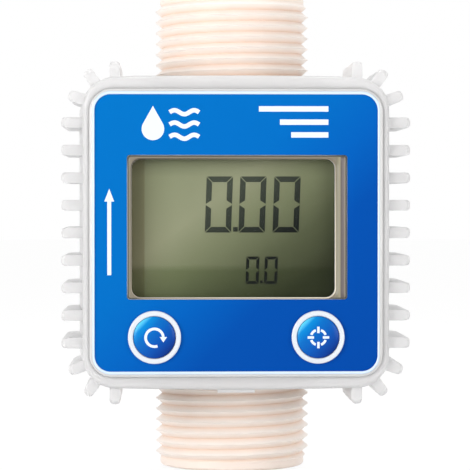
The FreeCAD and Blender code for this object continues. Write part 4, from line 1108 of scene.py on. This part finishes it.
# %% Outlines of the marks
def stroke(path, width):
    """The outline of a line of this width: one side along its path, and back along the other.

    The sides lie half the width from the path, at right angles to its direction."""
    path = np.array(path, dtype=float)
    run = np.gradient(path, axis=0)
    run /= np.linalg.norm(run, axis=1, keepdims=True)
    side = np.stack([-run[:, 1], run[:, 0]], axis=-1) * width / 2
    return np.concatenate([path + side, (path - side)[::-1]])


def drop_outline(x, z, radius, height):
    """A drop: most of a circle, closed by two straight flanks that touch it and meet at the tip.

    The flanks touch the circle where the sine of the angle is radius / distance to the tip."""
    reach = height - radius
    touch = math.degrees(math.asin(radius / reach))
    return np.vstack([arc_points((x, z), radius, 180 - touch, 360 + touch, 28), (x, z + reach)])


def ripple(x, z, length, rise, waves):
    """Points along a wavy line that starts at x and is length long: z + rise x sine."""
    along = np.linspace(0, 1, 40)
    return np.stack([x + length * along, z + rise * np.sin(2 * math.pi * waves * along)], axis=-1)


BARS_RIGHT, BAR_HALF = 18.8, 0.55
marks = [drop_outline(-17.0, 21.2, 2.3, 7.0)]
marks += [stroke(ripple(-13.6, z, 6.0, 0.4, 1.5), 0.9) for z in (19.6, 22.1, 24.6)]
for z, width in ((25.3, 14.2), (22.6, 9.9), (20.0, 7.6)):
    marks.append([(BARS_RIGHT - width, z - BAR_HALF), (BARS_RIGHT, z - BAR_HALF),
                  (BARS_RIGHT, z + BAR_HALF), (BARS_RIGHT - width, z + BAR_HALF)])
marks.append([(-26.3, -8.6), (-25.5, -8.6), (-25.5, 6.4), (-24.9, 6.4), (-25.9, 9.0), (-26.9, 6.4),
              (-26.3, 6.4)])
marks = [np.array(outline) + (face_x, face_z) for outline in marks]
mark_ink = finish("mark_white", srgb(226, 238, 248), 0.35, drift=0.02)
show("label_marks", print_plate("label_marks", marks, lambda x, z: label_front - 0.02, 0.04),
     "meter", mark_ink)

# %% [markdown]
# ## Signs on the caps
# A turning arrow means reset, and a cross in a broken circle means calibration.  They lie on a
# dome, so each point takes its depth from the formula of the dome under it, and they ride on the
# cap's body, so they go in with it when it is pressed.

# %% Cap signs
SIGN_SUNK, SIGN_THICK = 0.03, 0.07


def cap_sign(key, outlines):
    """White strokes on a cap: depth = top - (1 - square root of 1 - (r/cap)^2) x dome - sunk."""
    x0, z0, top = cap_tops[key]

    def on_dome(x, z):
        share = ((x - x0) ** 2 + (z - z0) ** 2) / CAP ** 2
        return top - (1 - np.sqrt(1 - share)) * DOME - SIGN_SUNK

    placed = [np.array(outline) + (x0, z0) for outline in outlines]
    show(f"{key}_sign", print_plate(f"{key}_sign", placed, on_dome, SIGN_THICK), f"{key}_button",
         mark_ink)


turn_head = [(1.05, 0.15), (2.55, 0.15), (1.8, -0.95)]
cap_sign("reset", [stroke(arc_points((0, 0), 1.8, 5, 290, 34), 0.55), turn_head])
broken_circle = [arc_points((0, 0), 1.55, start, start + 50, 8) for start in (20, 110, 200, 290)]
cross = [[(-2.2, 0), (-0.9, 0)], [(0.9, 0), (2.2, 0)], [(0, 0.9), (0, 2.2)], [(0, -2.2), (0, -0.9)]]
cap_sign("calibration", [stroke(path, 0.5) for path in broken_circle + cross])

# %% [markdown]
# ## Checks before the end
# Every part left as CAD made it must have a finish too.

# %% Finish
for part in frame["record"]["subparts"]:
    shown = nodes[part["node"]]
    if not shown.hide_render and not shown.data.materials:
        print("no finish on", part["node"])
scene = bpy.context.scene
scene.view_settings.view_transform = "Standard"
